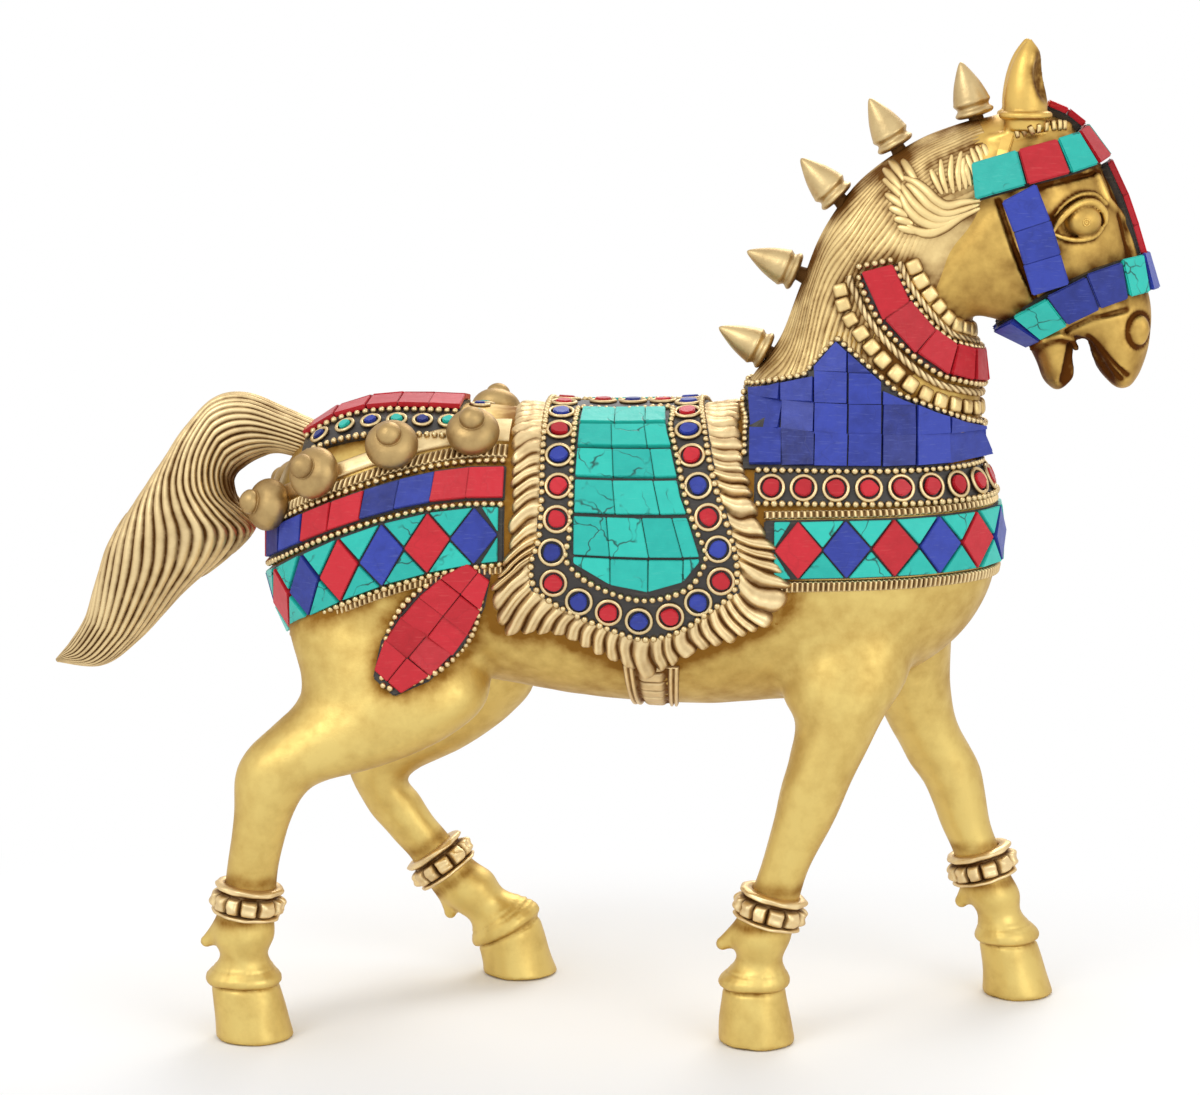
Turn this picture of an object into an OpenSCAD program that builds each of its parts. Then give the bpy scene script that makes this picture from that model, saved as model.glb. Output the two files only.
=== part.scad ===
// Standing brass horse with a saddle cloth, bridle, collar, chest bands and rump bands inlaid with
// turquoise, coral and lapis tiles. Millimetres. X runs from tail to muzzle, Y across, Z up.

/* [Castings] */
// Half width of the barrel under the saddle
barrel_half = 38; // [34:0.5:42]
// Fullness of the barrel section, where 2 is a plain ellipse
barrel_power = 2.3; // [2:0.1:2.8]
// Half the spacing of the two front hooves
front_stance = 29; // [26:0.5:32]
// Half the spacing of the two hind hooves
hind_stance = 37; // [33:0.5:40]
// Half width of a hoof at the sole
hoof_half = 11.5; // [10:0.5:13]
// Half width of the tail at its fullest
tail_half = 13.5; // [10:0.5:16]
// Locks of hair around the tail
tail_locks = 34; // [24:1:36]
// Depth of the grooves between the locks of the tail
tail_groove = 1.5; // [0.6:0.1:2]
// Sideways place of each ear from the middle
ear_y = 11; // [9:0.5:13]

/* [Stones] */
// Thickness of a cut stone
stone_t = 1.6; // [1.2:0.1:2]
// Thickness of the black mastic under the stones
bed_t = 1.2; // [0.8:0.1:1.8]
// Width of the mastic joint between two stones
joint = 0.5; // [0.3:0.1:0.8]
// Rows of turquoise on each side of the saddle
saddle_rows = 6; // [5:1:7]
// Number of ringed stones on each side of the saddle border
saddle_rings = 21; // [17:1:22]
// Width of a lapis tile on the shoulder
shoulder_tile = 9.4; // [8:0.1:11]
// Length of one diamond along a band
diamond_pitch = 13.8; // [13:0.1:14.2]

/* [Brass trim] */
// Thickness of the cast saddle cloth
cloth_t = 1.8; // [1.4:0.1:2.4]
// Outside diameter of a ring around a stone
ring_d = 8.4; // [7.6:0.1:8.6]
// Outside diameter of a ring on the crupper
small_ring_d = 6.6; // [5.6:0.1:7]
// Thickness of the ring wire
ring_wire = 1.2; // [0.9:0.1:1.4]
// Length of a spike on the mane
finial_len = 18; // [15:0.5:21]
// Diameter of a rump knob
knob_d = 15.6; // [13:0.2:16.6]
// Lumps around one anklet
anklet_lumps = 12; // [10:1:14]
// Diameter of a bead in the bead wires
bead_d = 1.8; // [1.4:0.1:1.8]
// Spacing of the beads
bead_pitch = 2.3; // [2.3:0.1:3]
// Spacing of the locks of the saddle fringe at their roots
lock_pitch = 4.2; // [3.6:0.1:5]

/* [Bridle] */
// Thickness of the mastic under the bridle stones
bridle_bed_t = 2.2; // [1.4:0.1:2.8]

/* [Hidden] */
$fn = 32;
brass = [0.80, 0.60, 0.25];
black = [0.09, 0.08, 0.07];
coral = [0.78, 0.16, 0.20];
turquoise = [0.14, 0.68, 0.58];
lapis = [0.18, 0.24, 0.60];
stone_lo = bed_t - 0.3;
stone_hi = bed_t + stone_t - 0.3;
bridle_lo = bridle_bed_t - 0.3;
bridle_hi = bridle_bed_t + stone_t + 0.3;

// Barrel sections at even steps from the rear to the chest: bottom z, top z, half width
rear_x = -96;
chest_x = 121;
BARREL = [
  [104, 184, barrel_half * 0.87],
  [103, 186, barrel_half * 0.985],
  [104, 185.5, barrel_half],
  [99.5, 184, barrel_half],
  [97.5, 184.5, barrel_half],
  [99.5, 187, barrel_half * 0.96],
  [104, 189, barrel_half * 0.905],
  [108, 188, barrel_half * 0.815]
];
rear_round = 44;
chest_round = 46;

// Every other casting is a list of outline pairs seen from the side: x and z of one edge, x and z of the
// opposite edge, half width across, and the sideways place of the section
NECK = [
  [40, 178, 113, 158, 28, 0],
  [47, 193, 114.5, 175, 25.5, 0],
  [56, 206, 115, 190, 23, 0],
  [62.5, 222.5, 114, 203, 20.5, 0],
  [69, 238.5, 112, 212, 19, 0],
  [80, 253.5, 116, 222, 18, 0],
  [95.5, 264.5, 123, 230, 17.5, 0],
  [113, 271, 129, 236, 16, 0]
];
HEAD = [
  [112, 268, 108, 240, 13, 0],
  [124, 274, 110, 228, 17, 0],
  [138, 271, 112, 219, 19.5, 0],
  [148, 259.5, 117, 214, 19, 0],
  [155, 245, 124, 210, 16.5, 0],
  [159.5, 232, 131, 207, 13.5, 0],
  [164, 218, 140, 206, 11.8, 0],
  [164, 207, 147, 201, 11.4, 0],
  [162, 199, 150.5, 196.6, 9.6, 0],
  [159.5, 194.2, 153.5, 193.6, 6.5, 0],
  [157.5, 192.8, 155.5, 192.6, 2.5, 0]
];
JAW = [
  [147, 214, 124, 214, 11.5, 0],
  [145, 208, 127.5, 207, 11, 0],
  [143.4, 201, 131.2, 200.5, 10, 0],
  [142.4, 196.4, 133.4, 195.4, 8.8, 0],
  [140.2, 193.6, 135.6, 193, 5.8, 0],
  [138.6, 192.4, 137, 192.2, 2.2, 0]
];
EAR = [
  [121, 268, 132, 268, 5.2, 0],
  [120.1, 276, 132.6, 277, 6, 0],
  [121, 283, 131.8, 284, 4.9, 0],
  [123.2, 289, 130.4, 289.5, 3, 0],
  [126.6, 293.8, 127.6, 293.8, 0.5, 0]
];
TAIL = [
  [-78, 178, -84, 168, 7, 0],
  [-92, 184, -94, 170.5, 8, 0],
  [-104, 188.5, -100, 169, 9.5, 0],
  [-114, 187, -105, 166, 11, 0],
  [-123, 178, -108.5, 162.5, 12, 0],
  [-130, 168, -108, 157, 13, 0],
  [-136, 159.5, -104, 152, tail_half, 0],
  [-142, 151, -102.5, 147, tail_half, 0],
  [-147.5, 142, -110, 139, 12.5, 0],
  [-151.5, 131, -123, 128.5, 11, 0],
  [-155, 120, -138, 113, 8, 0],
  [-160, 112, -150, 104.5, 5, 0],
  [-164.7, 106.3, -163.9, 105.2, 1.2, 0]
];
// Closer where the tail arches
TAIL_SECTIONS = [0, 1, 2, 2.5, 3, 3.5, 4, 5, 6, 7, 8, 9, 10, 11, 12];
function across(list, stance) = [for (s = list) [s[0], s[1], s[2], s[3], s[4], s[5] * stance]];
FRONT_NEAR = across([
  [56, 126, 98, 128, 17, -0.5],
  [58, 106, 95, 110, 15.5, -0.74],
  [62, 96, 88, 98, 12.5, -0.88],
  [60.5, 86, 82.5, 87, 10.4, -0.96],
  [58.5, 78, 78.5, 78.4, 9.2, -1],
  [56, 66, 73.5, 66, 8, -1],
  [52.5, 54, 67.5, 54, 7.2, -1],
  [49.5, 45, 64.5, 45, 7, -1],
  [46.5, 37, 62.5, 38, 7.6, -1],
  [44, 31.5, 61.5, 31.5, 8.4, -1],
  [45.5, 25.5, 59, 25.5, 7.2, -1],
  [41.8, 20, 60.3, 20.5, 8.9, -1],
  [41.4, 16.5, 60, 17, 8.9, -1],
  [40.5, 8, 61.5, 8, hoof_half - 1.2, -1],
  [40.3, 0, 63, 0, hoof_half, -1]
], front_stance);
FRONT_FAR = across([
  [70, 128, 110, 130, 17, 0.5],
  [78, 106, 108, 112, 15, 0.74],
  [85, 94, 108.5, 96, 12, 0.88],
  [90.5, 83, 111, 84, 10, 0.96],
  [96, 73, 116.5, 73.5, 9.2, 1],
  [101.9, 64.8, 119, 65.1, 8.4, 1],
  [106, 54, 120.8, 54, 7.4, 1],
  [110, 45, 123.8, 45.5, 7, 1],
  [113, 36.5, 128, 37.5, 7.6, 1],
  [114, 31, 130.5, 32, 8.4, 1],
  [117.5, 25.5, 131, 26, 7.2, 1],
  [117.8, 20, 135, 21, 8.9, 1],
  [118.2, 16.5, 136, 17, 8.9, 1],
  [119.6, 8, 139, 8, hoof_half - 1.2, 1],
  [119.9, 0, 141.5, 0, hoof_half, 1]
], front_stance);
HIND_NEAR = across([
  [-76, 152, -38, 152, 15, -0.42],
  [-89, 128, -33, 126, 17, -0.5],
  [-84, 107, -28, 104, 17, -0.68],
  [-85, 100, -38, 92, 14.5, -0.8],
  [-91, 94, -58, 83, 12, -0.9],
  [-98.5, 87, -75, 78.5, 10, -0.97],
  [-102, 79.5, -81.5, 74.5, 8.8, -1],
  [-102.6, 67, -86, 66, 7.6, -1],
  [-104.2, 55, -89.3, 55, 7, -1],
  [-105.5, 46, -90.8, 46, 7, -1],
  [-107.5, 37.5, -91.6, 38, 7.6, -1],
  [-109.5, 31, -91.5, 31, 8.4, -1],
  [-107.5, 25, -93.5, 25, 7.2, -1],
  [-110.6, 19.5, -91, 19.5, 8.9, -1],
  [-110.3, 16.5, -90.4, 16.5, 8.9, -1],
  [-109.6, 8, -88, 8, hoof_half - 1.2, -1],
  [-109.4, 0, -86, 0, hoof_half, -1]
], hind_stance);
HIND_FAR = across([
  [-72, 152, -30, 150, 15, 0.42],
  [-74, 126, -22, 120, 17, 0.5],
  [-70, 108, -20, 98, 17, 0.68],
  [-72, 97, -28, 86, 14.5, 0.8],
  [-78, 84, -44, 73.5, 12, 0.9],
  [-81.5, 72, -58, 66, 9.6, 0.97],
  [-80, 63, -62, 61.5, 8.6, 1],
  [-74.5, 52.5, -58.5, 57, 7.6, 1],
  [-67, 43, -54, 50.5, 7, 1],
  [-60.5, 35.5, -48.5, 44, 7, 1],
  [-54.5, 27, -42, 36.5, 7.6, 1],
  [-49, 21.5, -35.5, 32, 8.4, 1],
  [-42.5, 17, -31.5, 27, 7.2, 1],
  [-41, 11.5, -24, 23.5, 8.9, 1],
  [-39.6, 9, -20.5, 18.5, 8.9, 1],
  [-38.4, 4, -17, 7, hoof_half - 1.2, 1],
  [-38, 0, -14.5, 0, hoof_half, 1]
], hind_stance);

// Curves through the sections
function mix(p, q, r, s, t) =
  0.5 * (2 * q + (r - p) * t + (2 * p - 5 * q + 4 * r - s) * t * t + (3 * q - p - 3 * r + s) * t * t * t);
function station(list, s) =
  let (e = len(list) - 1, i = min(max(floor(s), 0), e - 1))
  mix(list[max(i - 1, 0)], list[i], list[i + 1], list[min(i + 2, e)], s - i);
function unit(v) = v / norm(v);
function between(a, b, t) = a + (b - a) * t;

// A point of an outline-pair casting at section s and angle a, where 0 is the first edge
function on_loft(list, s, a) =
  let (q = station(list, s))
  let (c = cos(a))
  [(q[0] + q[2] + (q[0] - q[2]) * c) / 2, q[5] - q[4] * sin(a), (q[1] + q[3] + (q[1] - q[3]) * c) / 2];
function loft_middle(list, s) = (on_loft(list, s, 0) + on_loft(list, s, 180)) / 2;
function loft_skin(list, s, a) =
  let (p = on_loft(list, s, a))
  let (m = cross(on_loft(list, s + 0.05, a) - on_loft(list, s - 0.05, a), on_loft(list, s, a + 1) - p))
  [p, unit(m * (p - loft_middle(list, s)) < 0 ? -m : m)];
// A closed skin over rings of points
module skinned(rings) {
  e = len(rings) - 1;
  n = len(rings[0]);
  skin = [for (i = [0:e - 1]) for (k = [0:n - 1]) each
    let (a = i * n + k, b = i * n + (k + 1) % n)
    [[a, b, b + n], [a, b + n, a + n]]];
  ends = [[for (k = [n - 1:-1:0]) k], [for (k = [0:n - 1]) e * n + k]];
  polyhedron([for (r = rings) each r], concat(skin, ends));
}
module loft(list, steps, sides) {
  skinned([for (i = [0:(len(list) - 1) * steps])
    [for (k = [0:sides - 1]) on_loft(list, i / steps, 360 * k / sides)]]);
}

// A casting with a groove between every two locks, at the sections given. The locks sway a little.
function lock_sway(s) = 5 * sin(46 * s);
module grooved_loft(list, sections, locks, deep, full) {
  skinned([for (s = sections)
    let (d = deep * min(1.1 * station(list, s)[4] / full, 1))
    [for (k = [0:2 * locks - 1])
      let (q = loft_skin(list, s, 180 * k / locks + lock_sway(s)))
      k % 2 == 0 ? q[0] - d * q[1] : q[0]]]);
}

// The barrel: section sizes at x, rounded off at the rear and at the chest
function rounding(x) =
  let (f = (x - chest_x + chest_round) / chest_round, r = (rear_x + rear_round - x) / rear_round)
  f > 0 ? pow(1 - pow(min(f, 0.9999), 2.2), 1 / 2.2) :
  r > 0 ? pow(1 - pow(min(r, 0.9999), 2.6), 1 / 2.6) : 1;
function barrel(x) =
  let (q = station(BARREL, 7 * (x - rear_x) / (chest_x - rear_x)), r = rounding(x))
  [(q[0] + q[1]) / 2, (q[1] - q[0]) / 2 * r, q[2] * r];
function fullness(x, y, z) =
  let (b = barrel(x))
  pow(abs(y) / b[2], barrel_power) + pow(abs(z - b[0]) / b[1], barrel_power);
function barrel_skin(x, y, z) =
  let (e = 0.2, l = max(x - e, rear_x), h = min(x + e, chest_x))
  [[x, y, z], unit([
    (fullness(h, y, z) - fullness(l, y, z)) / (h - l),
    (fullness(x, y + e, z) - fullness(x, y - e, z)) / (2 * e),
    (fullness(x, y, z + e) - fullness(x, y, z - e)) / (2 * e)])];
function power(c) = sign(c) * pow(abs(c), 2 / barrel_power);
// Barrel skin at x and angle f from the spine, where the near side is positive
function barrel_at(x, f) =
  let (b = barrel(x))
  barrel_skin(x, -b[2] * power(sin(f)), b[0] + b[1] * power(cos(f)));
// Barrel half width at a place seen from the side
function barrel_y(x, z) =
  let (b = barrel(x))
  b[2] * pow(max(1 - pow(abs(z - b[0]) / b[1], barrel_power), 0), 1 / barrel_power);
// Ends of the barrel at height z
function rear_end(z) =
  let (b = station(BARREL, 0.4), c = min(abs(2 * z - b[0] - b[1]) / (b[1] - b[0]), 0.99))
  rear_x + rear_round - rear_round * pow(1 - pow(c, 2.6), 1 / 2.6) * 0.9999;
function chest_end(z) =
  let (b = station(BARREL, 6.7), c = min(abs(2 * z - b[0] - b[1]) / (b[1] - b[0]), 0.99))
  chest_x - chest_round + chest_round * pow(1 - pow(c, 2.2), 1 / 2.2) * 0.9999;
module barrel_solid(sides) {
  xs = concat(
    [for (a = [90:-15:15]) rear_x + rear_round * (1 - sin(a)) + (a == 90 ? 0.002 : 0)],
    [for (t = [0:1 / 9:1.001]) between(rear_x + rear_round, chest_x - chest_round, t)],
    [for (a = [15:15:90]) chest_x - chest_round * (1 - sin(a)) - (a == 90 ? 0.002 : 0)]);
  n = sides;
  e = len(xs) - 1;
  points = [for (x = xs) for (k = [0:n - 1]) barrel_at(x, 360 * k / n)[0]];
  skin = [for (i = [0:e - 1]) for (k = [0:n - 1]) each
    let (a = i * n + k, b = i * n + (k + 1) % n)
    [[a, b + n, b], [a, a + n, b + n]]];
  ends = [[for (k = [0:n - 1]) k], [for (k = [n - 1:-1:0]) e * n + k]];
  polyhedron(points, concat(skin, ends));
}

// Half width of an outline-pair casting at a place seen from the side, 0 outside it
function section_of(list, p, turn, lo, hi, k = 16) =
  let (m = (lo + hi) / 2, q = station(list, m))
  let (g = (q[0] - q[2]) * (p[1] - (q[1] + q[3]) / 2) - (q[1] - q[3]) * (p[0] - (q[0] + q[2]) / 2))
  let (up = g * turn > 0)
  k == 0 ? m : section_of(list, p, turn, up ? m : lo, up ? hi : m, k - 1);
function loft_y(list, x, z, turn) =
  let (q = station(list, section_of(list, [x, z], turn, 0, 3.5)))
  let (r = norm([2 * x - q[0] - q[2], 2 * z - q[1] - q[3]]) / norm([q[0] - q[2], q[1] - q[3]]))
  r < 1 ? abs(q[5]) + q[4] * sqrt(1 - r * r) : 0;
// The body seen from one side: the outermost of the barrel, the neck and the hind thigh
function side_y(x, z, side) =
  max(barrel_y(x, z), loft_y(NECK, x, z, -1), loft_y(side < 0 ? HIND_NEAR : HIND_FAR, x, z, 1));
function side_skin(x, z, side) =
  let (e = 2.5, y = side_y(x, z, side))
  let (gx = (side_y(x + e, z, side) - side_y(x - e, z, side)) / (2 * e))
  let (gz = (side_y(x, z + e, side) - side_y(x, z - e, side)) / (2 * e))
  [[x, side * y, z], unit([-gx, side, -gz])];

// A band on an outline-pair casting: the skin w beside the path of section and angle at u
function beside(list, path, u, w) =
  let (e = 0.06, p = path(u), p0 = path(u - e), p1 = path(u + e), n = loft_skin(list, p[0], p[1])[1])
  let (b = cross(n, unit(on_loft(list, p1[0], p1[1]) - on_loft(list, p0[0], p0[1]))))
  let (ds = (on_loft(list, p[0] + 0.02, p[1]) - on_loft(list, p[0] - 0.02, p[1])) / 0.04)
  let (da = (on_loft(list, p[0], p[1] + 1) - on_loft(list, p[0], p[1] - 1)) / 2)
  let (k = (ds * ds) * (da * da) - (ds * da) * (ds * da), s = w * (ds * b), a = w * (da * b))
  loft_skin(list, p[0] + (s * (da * da) - a * (ds * da)) / k, p[1] + (a * (ds * ds) - s * (ds * da)) / k);

// A curved plate over the skin function f, from lift lo to lift hi
module plate(f, us, vs, lo, hi, round_us = false) {
  g = [for (u = us) for (v = vs) f(u, v)];
  m = len(us);
  n = len(vs);
  top = [for (q = g) q[0] + hi * q[1]];
  low = [for (q = g) q[0] + lo * q[1]];
  c = m * n;
  rows = round_us ? m - 1 : m - 2;
  cells = [for (i = [0:rows]) for (k = [0:n - 2]) each
    let (a = i * n + k, b = (i + 1) % m * n + k)
    [[a, a + 1, b + 1], [a, b + 1, b], [c + a, c + b + 1, c + a + 1], [c + a, c + b, c + b + 1]]];
  sides = [for (i = [0:rows]) each
    let (a = i * n, b = (i + 1) % m * n, d = n - 1)
    [[a, b, c + b], [a, c + b, c + a], [a + d, c + b + d, b + d], [a + d, c + a + d, c + b + d]]];
  ends = round_us ? [] : [for (k = [0:n - 2]) each
    let (b = (m - 1) * n + k)
    [[k, c + k + 1, k + 1], [k, c + k, c + k + 1], [b, b + 1, c + b + 1], [b, c + b + 1, c + b]]];
  polyhedron(concat(top, low), concat(cells, sides, ends));
}
// One flat stone whose corners lie on the skin function f
module stone(f, corners, lo = stone_lo, hi = stone_hi, gap = joint) {
  g = [for (c = corners) f(c[0], c[1])];
  m = [for (q = g) 1] * [for (q = g) q[0]] / len(g);
  z = unit([for (q = g) 1] * [for (q = g) q[1]]);
  d = g[1][0] - g[0][0];
  x = unit(d - z * (d * z));
  y = cross(z, x);
  flat = [for (q = g) let (p = [(q[0] - m) * x, (q[0] - m) * y]) p * (1 - 0.7 * gap / norm(p))];
  multmatrix([
    [x[0], y[0], z[0], m[0] + lo * z[0]],
    [x[1], y[1], z[1], m[1] + lo * z[1]],
    [x[2], y[2], z[2], m[2] + lo * z[2]]])
    linear_extrude(hi - lo) polygon(flat);
}
// Places children on the skin at q with their Z along the skin's normal
module stand(q, lift = 0) {
  z = q[1];
  x = unit(cross([0, 0.2, 1], z));
  y = cross(z, x);
  p = q[0] + lift * z;
  multmatrix([
    [x[0], y[0], z[0], p[0]],
    [x[1], y[1], z[1], p[1]],
    [x[2], y[2], z[2], p[2]]]) children();
}
module cell(f, u0, u1, v0, v1, lo = stone_lo, hi = stone_hi) {
  stone(f, [[u0, v0], [u1, v0], [u1, v1], [u0, v1]], lo, hi);
}
module ring(d = ring_d) {
  rotate_extrude() translate([(d - ring_wire) / 2, 0]) circle(ring_wire / 2, $fn = 24);
}
module ring_stone(d = ring_d) {
  cylinder(h = stone_t, d = d - 2 * ring_wire - 0.3, $fn = 9);
}

// Running length along a path, kept as pairs of length and parameter
function tape(f, us) =
  let (p = [for (u = us) f(u)])
  let (n = len(us))
  [for (i = 0, s = 0; i < n; s = s + (i + 1 < n ? norm(p[i + 1] - p[i]) : 0), i = i + 1) [s, us[i]]];
function tape_end(t) = t[len(t) - 1][0];
function seq(a, b, n) = [for (i = [0:n]) between(a, b, i / n)];

// Saddle: outlines of the cloth, of the ringed border and of the turquoise panel, as pairs for lookup
CLOTH_LOW = [
  [0, 107], [0.1, 116], [0.2, 113], [0.34, 117.5], [0.44, 126], [0.53, 131], [0.62, 124], [0.69, 117],
  [0.82, 114], [0.94, 107], [1, 98]
];
CLOTH_BACK = [[0, -23.5], [57, -21.4], [82, -21.8], [90, -24.6], [100, -27], [116, -26]];
CLOTH_FRONT = [[0, 45], [41, 47], [65, 50.3], [81, 56.2], [95, 61.5], [107, 60]];
cloth = function (u, v)
  let (f = abs(v) * lookup(u, CLOTH_LOW))
  barrel_at(between(lookup(f, CLOTH_BACK), lookup(f, CLOTH_FRONT), u), sign(v) * f);
BORDER_LOW = [[0, 96], [0.2, 103.5], [0.38, 108.8], [0.54, 112.5], [0.71, 108.7], [0.84, 102], [1, 95]];
BORDER_BACK = [[0, -13], [40, -12.4], [65, -11.9], [83, -12.6], [91, -15], [98, -14]];
BORDER_FRONT = [[0, 34], [17, 34.9], [45, 37.6], [64, 40.8], [80, 44.8], [90, 46.5], [98, 46]];
border = function (u, v)
  let (f = abs(v) * lookup(u, BORDER_LOW))
  barrel_at(between(lookup(f, BORDER_BACK), lookup(f, BORDER_FRONT), u), sign(v) * f);
PANEL_FRONT = [[0, 22.7], [44, 25.9], [65, 28.8], [75, 31.9], [84, 34.7], [95, 33]];
panel = function (u, v) barrel_at(between(-1.2, lookup(abs(v), PANEL_FRONT), u), v);
function panel_row(r, u) = r < saddle_rows ? 13 + 72 * r / (saddle_rows - 1) : 88 + 6.8 * sin(180 * u);
BORDER_PATH = [
  [-8, 0], [-7.6, 25], [-6.8, 48], [-6.4, 70], [-7.6, 83], [-8.4, 91], [-2, 97], [7, 100.5], [16.6, 103.7],
  [26.3, 101.8], [34.5, 97], [41, 90.5], [38.6, 77], [34.6, 62], [31.6, 44], [29.8, 20], [29.3, 0]
];
OUTER_PATH = [
  [-12.4, 0], [-12, 25], [-11.6, 45], [-11.1, 65], [-11.6, 80], [-13.8, 89], [-12, 95.8], [-2.5, 102.2],
  [8.6, 107.3], [18.8, 110.8], [29, 107.2], [37, 100.8], [43.8, 95.2], [45.4, 89.5], [43.8, 80], [39.8, 64.3],
  [36.6, 45.5], [34, 17], [33, 0]
];
INNER_PATH = [
  [-3, 12], [-3, 30], [-2.9, 45], [-2.6, 65], [-2.8, 78], [-3.4, 87], [5, 92.8], [17, 96.4], [27, 94.8],
  [33.4, 91], [36.4, 84.5], [33.4, 75], [30.4, 64], [27.5, 45], [25.2, 30], [24.2, 12], [10.6, 14.6],
  [-2.6, 12]
];
function saddle_line(list, side) = function (t) let (q = station(list, t)) barrel_at(q[0], side * q[1]);
border_tape = tape(function (t) saddle_line(BORDER_PATH, 1)(t)[0], seq(0, 16, 128));
function border_ring(i, side) =
  saddle_line(BORDER_PATH, side)(lookup((i + 0.5) * tape_end(border_tape) / saddle_rings, border_tape));
// Coral and lapis take turns, but for two corals next to each other on the rear edge
function border_red(i) = i < 5 ? i % 2 == 0 : i % 2 == 1;
module border_stones(red) {
  for (side = [-1, 1])
    for (i = [0:saddle_rings - 1])
      if (border_red(i) == red) stand(border_ring(i, side), cloth_t + bed_t - 0.3) ring_stone();
}
spine_ring = [for (x = [3.5, 12.5, 21.5]) barrel_at(x, 0)];
girth = function (u, v)
  let (k = 2 - abs(v - 180) / 26)
  barrel_at(between(12 + k, 28.5 - k, u), v);
// Beads strung along the skin function f
module beads(f, us, lift) {
  t = tape(function (u) f(u)[0], us);
  n = floor(tape_end(t) / bead_pitch);
  for (i = [0:n - 1]) {
    q = f(lookup((i + 0.5) * tape_end(t) / n, t));
    translate(q[0] + lift * q[1]) sphere(d = bead_d, $fn = 16);
  }
}
// Roots of the fringe locks along the border, and their tips on the edge of the cloth
fringe_tape = tape(function (t) saddle_line(OUTER_PATH, 1)(t)[0], seq(1, 17, 128));
fringe_locks = floor(tape_end(fringe_tape) / lock_pitch);
function fringe_tip(t) =
  let (q = station(OUTER_PATH, t), low = min(max((q[1] - 74) / 28, 0), 1))
  let (back = q[0] < 16, x = q[0] - 16, f = q[1] - 60, d = norm([x, f * 0.66]))
  q[1] < 74 ? [q[0] + (back ? -7.6 : 8.4), q[1] + 8]
  : between([q[0] + (back ? -7.6 : 8.4), q[1] + 8], [q[0] + 10.5 * x / d, q[1] + 1 + 8.25 * f / d], low);
// Section of the fringe at t, from root to tip over the back of a lock or along the groove beside it
function fringe_ring(t, side, back) =
  let (r = station(OUTER_PATH, t), e = fringe_tip(t), h = back ? [0.4, 1.6, 0.6] : [-0.2, 0.1, -0.2])
  let (q = [for (w = [0, 0.5, back ? 1 : 0.86]) let (p = between(r, e, w)) barrel_at(p[0], side * p[1])])
  concat([for (i = [0:2]) q[i][0] + (cloth_t + h[i]) * q[i][1]], [q[2][0] - 0.3 * q[2][1]]);

// Shoulder panel of lapis, seen from the side, cut at the two slopes that meet at its point
shoulder_low = 172;
shoulder_row = 8.8;
SHOULDER_TOP = [
  [46, 191], [47.8, 191.7], [64.2, 195.9], [73.5, 207], [91.5, 191.2], [114.3, 181.7], [117, 180.5]
];
function slopes(i) =
  let (t = SHOULDER_TOP)
  i < 2 ? [[t[1], t[2]]] :
  i == 2 ? [[t[2], t[3]], [t[3], t[4]]] :
  i == 3 ? [[t[3], t[4]]] : [[t[4], t[5]]];
function beyond(p, l) = (l[1][0] - l[0][0]) * (p[1] - l[0][1]) - (l[1][1] - l[0][1]) * (p[0] - l[0][0]);
function clip(poly, l) = [for (i = [0:len(poly) - 1]) each
  let (p = poly[i], q = poly[(i + 1) % len(poly)], a = beyond(p, l), b = beyond(q, l))
  concat(a <= 0 ? [p] : [], a * b < 0 ? [between(p, q, a / (a - b))] : [])];
function shoulder_cell(i, k) =
  let (x = 48.5 + i * shoulder_tile, z = shoulder_low + k * shoulder_row)
  let (l = slopes(i))
  clip(clip([[x, z], [x + shoulder_tile, z], [x + shoulder_tile, z + shoulder_row], [x, z + shoulder_row]],
    l[0]), l[len(l) - 1]);
function doubled_area(p) =
  abs([for (i = [0:len(p) - 1]) 1] * [for (i = [0:len(p) - 1]) cross(p[i], p[(i + 1) % len(p)])]);
function panel_top(x) = lookup(x, SHOULDER_TOP);
SHOULDER_XS = [46.6, 55, 64.2, 69, 73.5, 79, 85, 91.5, 103, 115];
module shoulder_plate(side) {
  rows = side < 0 ? [0, 0.33, 0.66, 1] : [1, 0.66, 0.33, 0];
  plate(function (x, v) side_skin(x, between(shoulder_low - 1, panel_top(x) + 1.5, v), side),
    SHOULDER_XS, rows, -0.6, bed_t);
}
function shoulder_line(side) = function (x) side_skin(x, panel_top(x) + 1.2, side);

// Belts around the chest and the rump, where u runs from one end over the middle to the other end
function belt(x0, x1, u, z) =
  let (x = x1 + (x0 - x1) * u * u, y = max(barrel_y(x, z), 0.01) * min(abs(u) / 0.04, 1))
  barrel_skin(x, u < 0 ? -y : y, z);
ring_row = function (u, v) let (z = between(161.5, 170.5, v)) belt(50, chest_end(z), u, z);
chest_band = function (u, v)
  let (z = between(141.6, 158.6, v) - 1.5 * u * u)
  belt(53, chest_end(z), u, z);
function rump_line(x) = let (d = x + 22) 171.1 - 0.0424 * d - 0.00467 * d * d;
function rump_belt(u, drop) =
  let (x = rear_x + 74 * u * u, z = rump_line(x) - drop)
  belt(-22, rear_end(z), u, z);
rump_tiles = function (u, v) rump_belt(u, between(9.3, 0, v));
rump_band = function (u, v) rump_belt(u, between(31.2 - 4.6 * pow(u, 4), 15.2 - 2.2 * u * u, v));
function belt_tape(f, v) = tape(function (u) f(u, v)[0], seq(0, 1, 40));
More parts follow.
